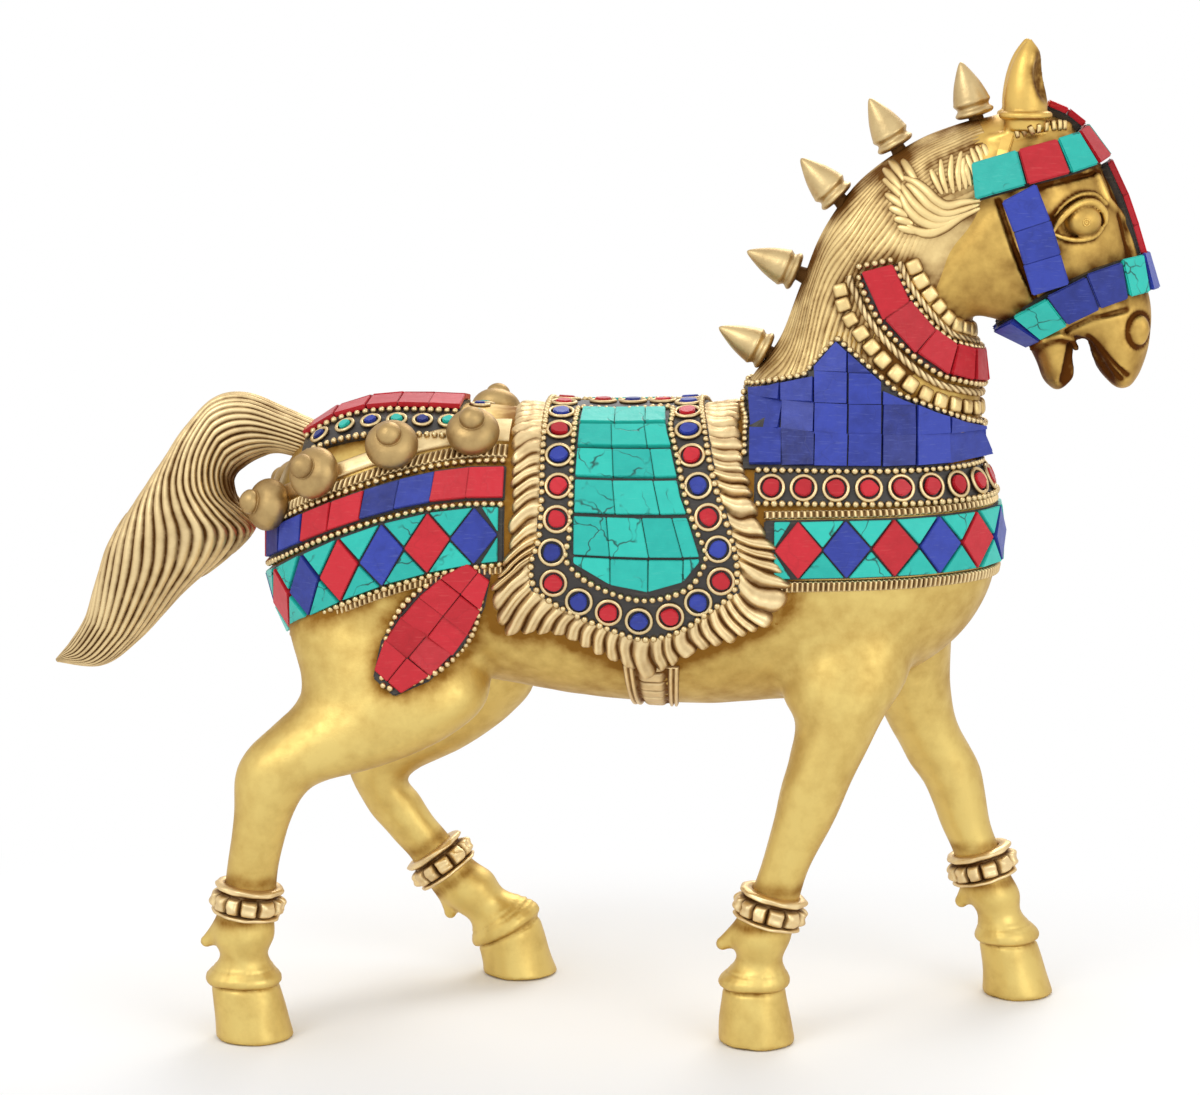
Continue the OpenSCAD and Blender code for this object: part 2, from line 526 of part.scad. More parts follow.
// Diamonds of a band to each side of its middle, and the half diamonds above and below them
module diamonds(f, hi_i, odd) {
  t = belt_tape(f, 0.5);
  for (side = [-1, 1])
    for (i = [0:hi_i])
      if (i % 2 == odd) {
        d = (i + 0.5) * diamond_pitch;
        h = diamond_pitch * 0.49;
        u = [for (a = [d - h, d, d + h]) side * lookup(a, t)];
        stone(f, [[u[0], 0.5], [u[1], 0.02], [u[2], 0.5], [u[1], 0.98]]);
      }
}
module half_diamonds(f, hi_i) {
  t = belt_tape(f, 0.5);
  for (side = [-1, 1])
    for (i = [0:hi_i])
      if (i > 0 || side > 0) {
        d = i * diamond_pitch;
        h = diamond_pitch * (i == hi_i ? 0.34 : 0.45);
        u = [for (a = [d - h, d, d + (i == hi_i ? 0 : h)]) side * sign(a) * lookup(abs(a), t)];
        stone(f, [[u[0], 0.03], [u[2], 0.03], [u[1], 0.46]]);
        stone(f, [[u[0], 0.97], [u[1], 0.54], [u[2], 0.97]]);
      }
}
// Tiles counted from the front end of a belt, two of a colour at a time
module row_stones(f, pitch, count, first) {
  t = belt_tape(f, 0.5);
  l = tape_end(t) - 0.6;
  for (side = [-1, 1])
    for (i = [0:count - 1])
      if (floor(i / 2) % 2 == first)
        cell(f, side * lookup(l - (i + 1) * pitch, t), side * lookup(l - i * pitch, t), 0.06, 0.94);
  if (first == 0) cell(f, -lookup(l - count * pitch, t), lookup(l - count * pitch, t), 0.06, 0.94);
}
chest_rings = [for (i = [-9:8])
  ring_row(sign(i + 0.5) * lookup(abs(i + 0.5) * 9.3, belt_tape(ring_row, 0.5)), 0.5)];

// Thigh panel: a leaf on each thigh, 5 rows of 2 stones
function thigh_at(u, v) =
  let (w = v * (9.2 + 0.9 * u) * sqrt(1 - 0.75 * u * u))
  [-42.6 - 13.3 * u - 0.779 * w, 125.3 - 16.5 * u + 0.627 * w];
function thigh(side) = function (u, v) let (p = thigh_at(u, side < 0 ? v : -v)) side_skin(p[0], p[1], side);
// Edge of the leaf at angle a, lifted straight to the side because the skin has a crease there
function thigh_edge(side) = function (a) [thigh(side)(1.06 * cos(a), -side * 1.16 * sin(a))[0], [0, side, 0]];

// Crupper along the spine of the rump, and the knobs beside it
crupper = function (u, v) barrel_at(between(-84, -38, u), v);
crupper_rings = [for (i = [0:5]) for (f = [-27, 27]) barrel_at(-78.5 + 7.6 * i, f)];
crupper_front = [for (f = [-14, 0, 14]) barrel_at(-33.5, f)];
KNOBS = [[-90, 157], [-76.2, 166.8], [-55.2, 174.4], [-32.2, 177.4]];
function knob_skin(q, side) = barrel_skin(q[0], side * barrel_y(q[0], q[1]), q[1]);

// Collar around the neck, bridle around the head
collar_path = function (u) [2.69 + 3.3 * pow(max(abs(u) - 0.45, 0), 1.6), 180 + 106 * u];
collar = function (u, w) beside(NECK, collar_path, u, w);
brow_path = function (u) [2.72 - 0.806 * pow(abs(88 * u) / 60.75, 2.7), 88 * u];
browband = function (u, w) beside(HEAD, brow_path, u, w);
nose_path = function (u) [4.73 + 0.67 * cos(170 * u), 170 * u];
noseband = function (u, w) beside(HEAD, nose_path, u, w);
function cheek_path(side) = function (u) [between(1.76, 3.8, u), side * between(82.4, 106, u)];
function cheek(side) = function (u, w) beside(HEAD, cheek_path(side), u, w);
nose_strip = function (u, w) beside(HEAD, function (t) [between(3.12, 4.98, t), 0], u, w);
brow_strip = function (u, w) beside(HEAD, function (t) [between(1.6, 2.34, t), 0], u, w);
crown = function (u, v) loft_skin(HEAD, 1.0 + 0.14 * v, 92 * u);

// Finials, knobs and anklets as turned shapes
FINIALS = [
  [[53.9, 201.4], [-15.7, 7.9]],
  [[62.6, 225.1], [-15.4, 6.4]],
  [[74.1, 246.3], [-12.1, 12.5]],
  [[90.5, 261.2], [-8.3, 14.2]],
  [[112.8, 270], [-5.3, 17.8]]
];
module finial(i) {
  d = unit(FINIALS[i][1]);
  k = finial_len / 18;
  translate([FINIALS[i][0][0], 0, FINIALS[i][0][1]])
    rotate([0, atan2(d[0], d[1]), 0])
    rotate_extrude()
    polygon([
      [0, -3], [2.6, -3], [2.2, 1.2 * k], [2.5, 1.6 * k], [4.9, 2 * k], [5.7, 3 * k], [4.7, 4.4 * k],
      [5.5, 5.8 * k], [5.3, 6.8 * k], [4.9, 8.4 * k], [3.9, 11.4 * k], [2.5, 14.4 * k], [1.3, 16.6 * k],
      [0.6, 17.6 * k], [0, 18 * k]
    ]);
}
module knob() {
  r = knob_d / 2;
  rotate_extrude() {
    polygon([
      [0, -2], [r * 0.62, -2], [r * 0.66, 0.4], [r * 0.9, 2.2], [r, 4.6], [r * 0.94, 6.8], [r * 0.76, 8.6],
      [r * 0.54, 9.5], [r * 0.44, 9.7], [r * 0.47, 10.6], [r * 0.44, 11.8], [r * 0.3, 13], [r * 0.12, 13.7],
      [0, 13.9]
    ]);
  }
}
module anklet(x, y, z, lean, bore) {
  translate([x, y, z])
    rotate([0, lean, 0])
    difference() {
      union() {
        cylinder(h = 6.4, r = 9.4, center = true);
        for (s = [-1, 1])
          translate([0, 0, s * 3.9]) cylinder(h = 1.8, r = 9.8, center = true);
        for (i = [0:anklet_lumps - 1])
          rotate(i * 360 / anklet_lumps) translate([9.3, 0, 0]) sphere(2.6);
      }
      cylinder(h = 14, r = bore, center = true);
    }
}

module torso() { color(brass) barrel_solid(24); }
module neck() { color(brass) loft(NECK, 3, 20); }
module head() { color(brass) loft(HEAD, 2, 20); }
module lower_jaw() { color(brass) loft(JAW, 2, 14); }
module ear(side) { color(brass) translate([0, side * ear_y, 0]) loft(EAR, 2, 12); }
module ear_near() { ear(-1); }
module ear_far() { ear(1); }
module tail() { color(brass) grooved_loft(TAIL, TAIL_SECTIONS, tail_locks, tail_groove, tail_half); }
module leg_front_near() { color(brass) loft(FRONT_NEAR, 2, 14); }
module leg_front_far() { color(brass) loft(FRONT_FAR, 2, 14); }
module leg_hind_near() { color(brass) loft(HIND_NEAR, 2, 14); }
module leg_hind_far() { color(brass) loft(HIND_FAR, 2, 14); }
module anklet_front_near() { color(brass) anklet(55.5, -front_stance, 41, 14, 7.2); }
module anklet_front_far() { color(brass) anklet(118.8, front_stance, 41, -16, 7.2); }
module anklet_hind_near() { color(brass) anklet(-99, -hind_stance, 42, 8, 7.2); }
module anklet_hind_far() { color(brass) anklet(-51.5, hind_stance, 36, -36, 7.2); }

module saddle_cloth() {
  color(brass) plate(cloth, [for (q = CLOTH_LOW) q[0]], seq(-1, 1, 18), -0.6, cloth_t);
}
module saddle_fringe() {
  n = 2 * fringe_locks;
  ts = [for (i = [0:n]) lookup(i * tape_end(fringe_tape) / n, fringe_tape)];
  color(brass) {
    skinned([for (i = [0:n]) fringe_ring(ts[i], 1, i % 2 == 1)]);
    skinned([for (i = [0:n]) let (r = fringe_ring(ts[i], -1, i % 2 == 1)) [for (k = [3:-1:0]) r[k]]]);
  }
}
module girth_strap() { color(brass) plate(girth, [0, 1], seq(128, 232, 10), -0.6, 1.6); }
module saddle_bed() {
  color(black) plate(border, seq(0, 1, 8), seq(-1, 1, 24), cloth_t - 0.4, cloth_t + bed_t);
}
module saddle_turquoise() {
  color(turquoise)
    for (side = [-1, 1])
      for (r = [0:saddle_rows - 1]) {
        us = r < saddle_rows - 2 ? [0, 0.38, 0.75, 1] : [0, 0.29, 0.59, 0.88, 1];
        for (c = [0:len(us) - 2]) {
          u = [us[c], us[c + 1]];
          stone(panel, [
            [u[0], side * panel_row(r, u[0])], [u[1], side * panel_row(r, u[1])],
            [u[1], side * panel_row(r + 1, u[1])], [u[0], side * panel_row(r + 1, u[0])]
          ], cloth_t + stone_lo, cloth_t + stone_hi);
        }
      }
}
module saddle_coral() {
  color(coral) {
    border_stones(true);
    for (i = [0, 2]) stand(spine_ring[i], cloth_t + bed_t - 0.3) ring_stone();
  }
}
module saddle_lapis() {
  color(lapis) {
    border_stones(false);
    stand(spine_ring[1], cloth_t + bed_t - 0.3) ring_stone();
  }
}
module saddle_rings_brass() {
  color(brass) {
    for (side = [-1, 1])
      for (i = [0:saddle_rings - 1])
        stand(border_ring(i, side), cloth_t + bed_t + 0.3) ring();
    for (q = spine_ring) stand(q, cloth_t + bed_t + 0.3) ring();
  }
}
module saddle_bead_wire() {
  color(brass)
    for (side = [-1, 1]) {
      beads(saddle_line(OUTER_PATH, side), seq(0, 18, 144), cloth_t + bed_t + 0.3);
      beads(saddle_line(INNER_PATH, side), seq(0, 17, 136), cloth_t + bed_t + 0.3);
    }
}
module shoulder_bed() { color(black) for (side = [-1, 1]) shoulder_plate(side); }
module shoulder_lapis() {
  color(lapis)
    for (side = [-1, 1])
      for (k = [0:3])
        for (i = [0:6]) {
          c = shoulder_cell(i, k);
          if (len(c) > 2 && doubled_area(c) > 24)
            stone(function (x, z) side_skin(x, z, side), c);
        }
}
module shoulder_bead_wire() {
  color(brass) {
    for (side = [-1, 1]) {
      beads(shoulder_line(side), seq(47.2, 114, 60), bed_t + 0.3);
      beads(function (z) side_skin(46.9, z, side), seq(174, 191, 12), bed_t + 0.3);
    }
    for (v = [0.02, 1]) beads(function (u) ring_row(u, v), seq(-1, 1, 400), bed_t + 0.3);
  }
}
module chest_ring_bed() { color(black) plate(ring_row, seq(-1, 1, 26), [0, 1], -0.6, bed_t); }
module chest_ring_coral() { color(coral) for (q = chest_rings) stand(q, bed_t - 0.3) ring_stone(); }
module chest_rings_brass() { color(brass) for (q = chest_rings) stand(q, bed_t + 0.3) ring(); }
module chest_band_bed() { color(black) plate(chest_band, seq(-1, 1, 26), [0, 0.5, 1], -0.6, bed_t); }
module chest_coral() { color(coral) diamonds(chest_band, 5, 1); }
module chest_lapis() { color(lapis) diamonds(chest_band, 5, 0); }
module chest_turquoise() { color(turquoise) half_diamonds(chest_band, 6); }

module collar_bed() { color(black) plate(collar, seq(-1, 1, 20), [-5.8, 0, 5.8], -0.5, bed_t); }
module collar_coral() {
  color(coral)
    for (i = [0:10])
      cell(collar, (2 * i - 11) / 11, (2 * i - 9) / 11, -4.5, 4.5, stone_lo, stone_hi + 0.6);
}
module collar_studs() {
  color(brass) {
    for (i = [0:15]) cell(collar, (2 * i - 16) / 16, (2 * i - 14) / 16, -15.2, -10.2, -0.6, 1.7);
    for (i = [0:13]) cell(collar, (2 * i - 14) / 14.5, (2 * i - 12) / 14.5, 8.2, 12.6, -0.6, 1.7);
  }
}
module collar_bead_wire() {
  color(brass) for (w = [-5.3, 5.3]) beads(function (u) collar(u, w), seq(-1, 1, 60), bed_t + 0.3);
}
module browband_bed() { color(black) plate(browband, seq(-1, 1, 14), [-5.2, 5.2], -0.5, bridle_bed_t); }
module noseband_bed() { color(black) plate(noseband, seq(-1, 1, 18), [-5.4, 5.4], -0.5, bridle_bed_t); }
module strap_beds() {
  color(black) {
    plate(nose_strip, seq(0, 1, 3), [-4.6, 0, 4.6], -0.5, bridle_bed_t);
    plate(brow_strip, seq(0, 1, 3), [-4.6, 0, 4.6], -0.5, bridle_bed_t);
    for (side = [-1, 1]) plate(cheek(side), seq(0, 1, 3), [-5.2, 5.2], -0.5, bridle_bed_t);
  }
}
module band_cells(f, count, pick) {
  for (i = [0:count - 1])
    if (pick(i)) cell(f, 2 * i / count - 1, 2 * (i + 1) / count - 1, -5, 5, bridle_lo, bridle_hi);
}
module strip_cells(f, count, w) {
  for (i = [0:count - 1]) cell(f, i / count, (i + 1) / count, -w, w, bridle_lo, bridle_hi);
}
module bridle_turquoise() {
  color(turquoise) {
    band_cells(browband, 9, function (i) i % 2 == 0);
    band_cells(noseband, 12, function (i) i == 1 || i == 4 || i == 7 || i == 10);
  }
}
module bridle_coral() {
  color(coral) {
    band_cells(browband, 9, function (i) i % 2 == 1);
    strip_cells(nose_strip, 3, 4.4);
    strip_cells(brow_strip, 2, 4.4);
  }
}
module bridle_lapis() {
  color(lapis) {
    band_cells(noseband, 12, function (i) i != 1 && i != 4 && i != 7 && i != 10);
    for (side = [-1, 1]) strip_cells(cheek(side), 3, 5);
  }
}
module crown_strap() { color(brass) plate(crown, seq(-1, 1, 12), [-1, 1], -0.5, 1.4); }

module crupper_bed() { color(black) plate(crupper, seq(0, 1, 6), seq(-38, 38, 6), -0.5, bed_t); }
module crupper_coral() {
  color(coral)
    for (i = [0:4])
      for (f = [-16, 0]) cell(crupper, i / 5, (i + 1) / 5, f, f + 16);
}
module crupper_turquoise() {
  color(turquoise) {
    for (i = [2, 3, 6, 7, 10, 11]) stand(crupper_rings[i], bed_t - 0.3) ring_stone(small_ring_d);
    for (i = [0, 2]) stand(crupper_front[i], -0.3) ring_stone(small_ring_d);
  }
}
module crupper_lapis() {
  color(lapis) {
    for (i = [0, 1, 4, 5, 8, 9]) stand(crupper_rings[i], bed_t - 0.3) ring_stone(small_ring_d);
    stand(crupper_front[1], -0.3) ring_stone(small_ring_d);
  }
}
module crupper_rings_brass() {
  color(brass) {
    for (q = crupper_rings) stand(q, bed_t + 0.3) ring(small_ring_d);
    for (q = crupper_front) stand(q, 0.3) ring(small_ring_d);
  }
}
module rump_knobs() {
  color(brass) {
    for (side = [-1, 1])
      for (q = KNOBS) stand(knob_skin(q, side)) knob();
  }
}
module rump_tile_bed() { color(black) plate(rump_tiles, seq(-1, 1, 26), [0, 1], -0.6, bed_t); }
module rump_band_bed() { color(black) plate(rump_band, seq(-1, 1, 26), [0, 0.5, 1.2], -0.6, bed_t); }
module rump_coral() {
  color(coral) {
    row_stones(rump_tiles, 10.4, 9, 0);
    diamonds(rump_band, 6, 1);
  }
}
module rump_lapis() {
  color(lapis) {
    row_stones(rump_tiles, 10.4, 9, 1);
    diamonds(rump_band, 6, 0);
  }
}
module rump_turquoise() { color(turquoise) half_diamonds(rump_band, 7); }
module rump_bead_wire() {
  color(brass) {
    for (v = [-0.12, 1.12]) beads(function (u) rump_tiles(u, v), seq(-1, 1, 400), bed_t);
    beads(function (u) rump_band(u, -0.04), seq(-1, 1, 400), bed_t);
    for (f = [-37, -18, 18, 37]) beads(function (u) crupper(u, f), seq(0, 1, 12), bed_t + 0.3);
    for (side = [-1, 1]) beads(thigh_edge(side), seq(-150, 114, 180), bed_t);
  }
}
module thigh_bed() {
  color(black)
    for (side = [-1, 1]) plate(thigh(side), seq(-1.08, 1.08, 5), [-1.12, 0, 1.12], -0.6, bed_t);
}
module thigh_stone(f, u, v) {
  stone(f, [[u, v], [u + 0.4, v], [u + 0.4, v + 1], [u, v + 1]], gap = 1.2);
}
module thigh_coral() {
  color(coral)
    for (side = [-1, 1])
      for (i = [0:4])
        for (v = [-1, 0]) thigh_stone(thigh(side), 0.4 * i - 1, v);
}
module mane_finials() { color(brass) for (i = [0:4]) finial(i); }

torso();
neck();
head();
lower_jaw();
ear_near();
ear_far();
tail();
leg_front_near();
leg_front_far();
leg_hind_near();
leg_hind_far();
anklet_front_near();
anklet_front_far();
anklet_hind_near();
anklet_hind_far();
saddle_cloth();
saddle_fringe();
girth_strap();
saddle_bed();
saddle_turquoise();
saddle_coral();
saddle_lapis();
saddle_rings_brass();
saddle_bead_wire();
shoulder_bed();
shoulder_lapis();
shoulder_bead_wire();
chest_ring_bed();
chest_ring_coral();
chest_rings_brass();
chest_band_bed();
chest_coral();
chest_lapis();
chest_turquoise();
collar_bed();
collar_coral();
collar_studs();
collar_bead_wire();
browband_bed();
noseband_bed();
strap_beds();
bridle_turquoise();
bridle_coral();
bridle_lapis();
crown_strap();
crupper_bed();
crupper_coral();
crupper_turquoise();
crupper_lapis();
crupper_rings_brass();
rump_knobs();
rump_tile_bed();
rump_band_bed();
rump_coral();
rump_lapis();
rump_turquoise();
rump_bead_wire();
thigh_bed();
thigh_coral();
mane_finials();
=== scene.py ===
import math
from functools import partial

import bmesh
import bpy
import numpy as np
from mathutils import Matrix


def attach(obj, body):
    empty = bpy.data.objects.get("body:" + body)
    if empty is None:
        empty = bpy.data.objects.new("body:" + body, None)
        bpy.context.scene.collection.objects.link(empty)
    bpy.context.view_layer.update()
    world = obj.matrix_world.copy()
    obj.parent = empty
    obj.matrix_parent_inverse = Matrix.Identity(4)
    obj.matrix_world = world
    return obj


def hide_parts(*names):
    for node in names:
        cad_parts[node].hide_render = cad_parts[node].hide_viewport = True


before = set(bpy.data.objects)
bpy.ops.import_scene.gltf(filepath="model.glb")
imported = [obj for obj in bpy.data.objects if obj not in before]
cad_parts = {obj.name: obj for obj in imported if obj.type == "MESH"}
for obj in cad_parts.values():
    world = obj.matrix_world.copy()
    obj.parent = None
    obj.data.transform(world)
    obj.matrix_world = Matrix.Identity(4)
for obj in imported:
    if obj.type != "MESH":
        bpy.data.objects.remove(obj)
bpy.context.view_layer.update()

import openvdb
from mathutils import Vector
from mathutils.bvhtree import BVHTree
from mathutils.kdtree import KDTree

# Barrel and upper legs
# The horse is hollow cast brass, brazed from a few castings whose seams are filed and chased away.
# Each casting is given by outline pairs seen from the side, in millimetres: x and z of one edge, x and z
# of the opposite edge, half width and sideways place.
MM = 0.001
# Ends of the barrel with their rounding, the front end of the rump's bands, and how square the barrel is.
REAR_X, REAR_ROUND, REAR_POWER = -96.0, 44.0, 2.6
CHEST_X, CHEST_ROUND, CHEST_POWER = 121.0, 46.0, 2.2
RUMP_X, FULL = -22.0, 2.3
BARREL = np.array([
    [104, 184, 33.06], [103, 186, 37.43], [104, 185.5, 38], [99.5, 184, 38],
    [97.5, 184.5, 38], [99.5, 187, 36.48], [104, 189, 34.39], [108, 188, 30.97]])
NECK = np.array([
    [40, 178, 113, 158, 28, 0], [47, 193, 114.5, 175, 25.5, 0], [56, 206, 115, 190, 23, 0],
    [62.5, 222.5, 114, 203, 20.5, 0], [69, 238.5, 112, 212, 19, 0], [80, 253.5, 116, 222, 18, 0],
    [95.5, 264.5, 123, 230, 17.5, 0], [113, 271, 129, 236, 16, 0]])
FRONT_NEAR = np.array([
    [56, 126, 98, 128, 17, -14.5], [58, 106, 95, 110, 15.5, -21.5], [62, 96, 88, 98, 12.5, -25.5],
    [60.5, 86, 82.5, 87, 10.4, -27.8], [58.5, 78, 78.5, 78.4, 9.2, -29], [56, 66, 73.5, 66, 8, -29],
    [52.5, 54, 67.5, 54, 7.2, -29], [49.5, 45, 64.5, 45, 7, -29], [46.5, 37, 62.5, 38, 7.6, -29],
    [44, 31.5, 61.5, 31.5, 8.4, -29], [45.5, 25.5, 59, 25.5, 7.2, -29], [41.8, 20, 60.3, 20.5, 8.9, -29],
    [41.4, 16.5, 60, 17, 8.9, -29], [40.5, 8, 61.5, 8, 10.3, -29], [40.3, 0, 63, 0, 11.5, -29]])
FRONT_FAR = np.array([
    [70, 128, 110, 130, 17, 14.5], [78, 106, 108, 112, 15, 21.5], [85, 94, 108.5, 96, 12, 25.5],
    [90.5, 83, 111, 84, 10, 27.8], [96, 73, 116.5, 73.5, 9.2, 29], [101.9, 64.8, 119, 65.1, 8.4, 29],
    [106, 54, 120.8, 54, 7.4, 29], [110, 45, 123.8, 45.5, 7, 29], [113, 36.5, 128, 37.5, 7.6, 29],
    [114, 31, 130.5, 32, 8.4, 29], [117.5, 25.5, 131, 26, 7.2, 29], [117.8, 20, 135, 21, 8.9, 29],
    [118.2, 16.5, 136, 17, 8.9, 29], [119.6, 8, 139, 8, 10.3, 29], [119.9, 0, 141.5, 0, 11.5, 29]])
HIND_NEAR = np.array([
    [-76, 152, -38, 152, 15, -15.5], [-89, 128, -33, 126, 17, -18.5], [-84, 107, -28, 104, 17, -25.2],
    [-85, 100, -38, 92, 14.5, -29.6], [-91, 94, -58, 83, 12, -33.3], [-98.5, 87, -75, 78.5, 10, -35.9],
    [-102, 79.5, -81.5, 74.5, 8.8, -37], [-102.6, 67, -86, 66, 7.6, -37], [-104.2, 55, -89.3, 55, 7, -37],
    [-105.5, 46, -90.8, 46, 7, -37], [-107.5, 37.5, -91.6, 38, 7.6, -37], [-109.5, 31, -91.5, 31, 8.4, -37],
    [-107.5, 25, -93.5, 25, 7.2, -37], [-110.6, 19.5, -91, 19.5, 8.9, -37],
    [-110.3, 16.5, -90.4, 16.5, 8.9, -37], [-109.6, 8, -88, 8, 10.3, -37], [-109.4, 0, -86, 0, 11.5, -37]])
HIND_FAR = np.array([
    [-72, 152, -30, 150, 15, 15.5], [-74, 126, -22, 120, 17, 18.5], [-70, 108, -20, 98, 17, 25.2],
    [-72, 97, -28, 86, 14.5, 29.6], [-78, 84, -44, 73.5, 12, 33.3], [-81.5, 72, -58, 66, 9.6, 35.9],
    [-80, 63, -62, 61.5, 8.6, 37], [-74.5, 52.5, -58.5, 57, 7.6, 37], [-67, 43, -54, 50.5, 7, 37],
    [-60.5, 35.5, -48.5, 44, 7, 37], [-54.5, 27, -42, 36.5, 7.6, 37], [-49, 21.5, -35.5, 32, 8.4, 37],
    [-42.5, 17, -31.5, 27, 7.2, 37], [-41, 11.5, -24, 23.5, 8.9, 37], [-39.6, 9, -20.5, 18.5, 8.9, 37],
    [-38.4, 4, -17, 7, 10.3, 37], [-38, 0, -14.5, 0, 11.5, 37]])
LEGS = {"front_near": (FRONT_NEAR, 7.5), "front_far": (FRONT_FAR, 7.5),
        "hind_near": (HIND_NEAR, 9.5), "hind_far": (HIND_FAR, 9.5)}


def through(rows, s):
    """A smooth curve through the rows, at row number s."""
    s = np.asarray(s, float)
    e = len(rows) - 1
    i = np.clip(np.floor(s).astype(int), 0, e - 1)
    t = (s - i)[..., None]
    p, q, r, w = rows[np.maximum(i - 1, 0)], rows[i], rows[i + 1], rows[np.minimum(i + 2, e)]
    cubic = 3 * q - p - 3 * r + w
    return 0.5 * (2 * q + (r - p) * t + (2 * p - 5 * q + 4 * r - w) * t * t + cubic * t ** 3)


def whole_turn(steps):
    """Angles of even steps round a circle."""
    return np.linspace(0, 2 * np.pi, steps, endpoint=False)


def on_casting(rows, s, a):
    """Skin of a casting at row s and angle a. Angle 0 is the first edge, the near side is positive."""
    s, a = np.broadcast_arrays(np.asarray(s, float), np.asarray(a, float))
    x0, z0, x1, z1, half, y = np.moveaxis(through(rows, s), -1, 0)
    c = np.cos(a)
    return np.stack([(x0 + x1 + (x0 - x1) * c) / 2, y - half * np.sin(a), (z0 + z1 + (z0 - z1) * c) / 2], -1)


def unit(v):
    """Vectors of length one."""
    return v / np.maximum(np.linalg.norm(v, axis=-1, keepdims=True), 1e-9)


def barrel(x):
    """Middle height, half height and half width of the barrel at x."""
    x = np.clip(np.asarray(x, float), REAR_X + 0.002, CHEST_X - 0.002)
    q = through(BARREL, (len(BARREL) - 1) * (x - REAR_X) / (CHEST_X - REAR_X))
    f = np.clip((x - CHEST_X + CHEST_ROUND) / CHEST_ROUND, 0, 0.9999)
    r = np.clip((REAR_X + REAR_ROUND - x) / REAR_ROUND, 0, 0.9999)
    k = (1 - f ** CHEST_POWER) ** (1 / CHEST_POWER) * (1 - r ** REAR_POWER) ** (1 / REAR_POWER)
    return (q[..., 0] + q[..., 1]) / 2, (q[..., 1] - q[..., 0]) / 2 * k, q[..., 2] * k


def on_barrel(x, f):
    """Barrel skin at x and angle f in degrees from the spine, positive on the near side."""
    x, f = np.broadcast_arrays(np.asarray(x, float), np.radians(np.asarray(f, float)))
    m, h, w = barrel(x)
    across, up = (np.sign(v) * np.abs(v) ** (2 / FULL) for v in (np.sin(f), np.cos(f)))
    return np.stack([x, -w * across, m + h * up], -1)


def rump_line(x):
    """Height of the line that the rump's bands follow, at x."""
    d = x - RUMP_X
    return 171.1 - 0.0424 * d - 0.00467 * d * d


def rump_part(x):
    """Share of the way from the tail to the front end of the rump's bands."""
    return np.clip((x - REAR_X) / (RUMP_X - REAR_X), 0, 1)


def rump_foot(x):
    """How far the foot of the lowest band lies below that line."""
    return 31.2 - 4.6 * rump_part(x) ** 2


def closed_skin(p):
    """Points, quads and end triangles of a tube of rings."""
    m, n = p.shape[:2]
    i = np.arange(m * n).reshape(m, n)
    j = np.roll(i, -1, 1)
    quads = np.stack([i[:-1], j[:-1], j[1:], i[1:]], -1).reshape(-1, 4)
    ends = np.concatenate([np.stack([np.full(n, m * n), j[0], i[0]], -1),
                           np.stack([np.full(n, m * n + 1), i[-1], j[-1]], -1)])
    return np.concatenate([p.reshape(-1, 3), p[:1].mean(1), p[-1:].mean(1)]), quads, ends


def casting_skin(rows, s0, s1, steps=150, sides=96):
    """Closed skin of a casting between two rows."""
    return closed_skin(on_casting(rows, np.linspace(s0, s1, steps)[:, None], whole_turn(sides)[None]))


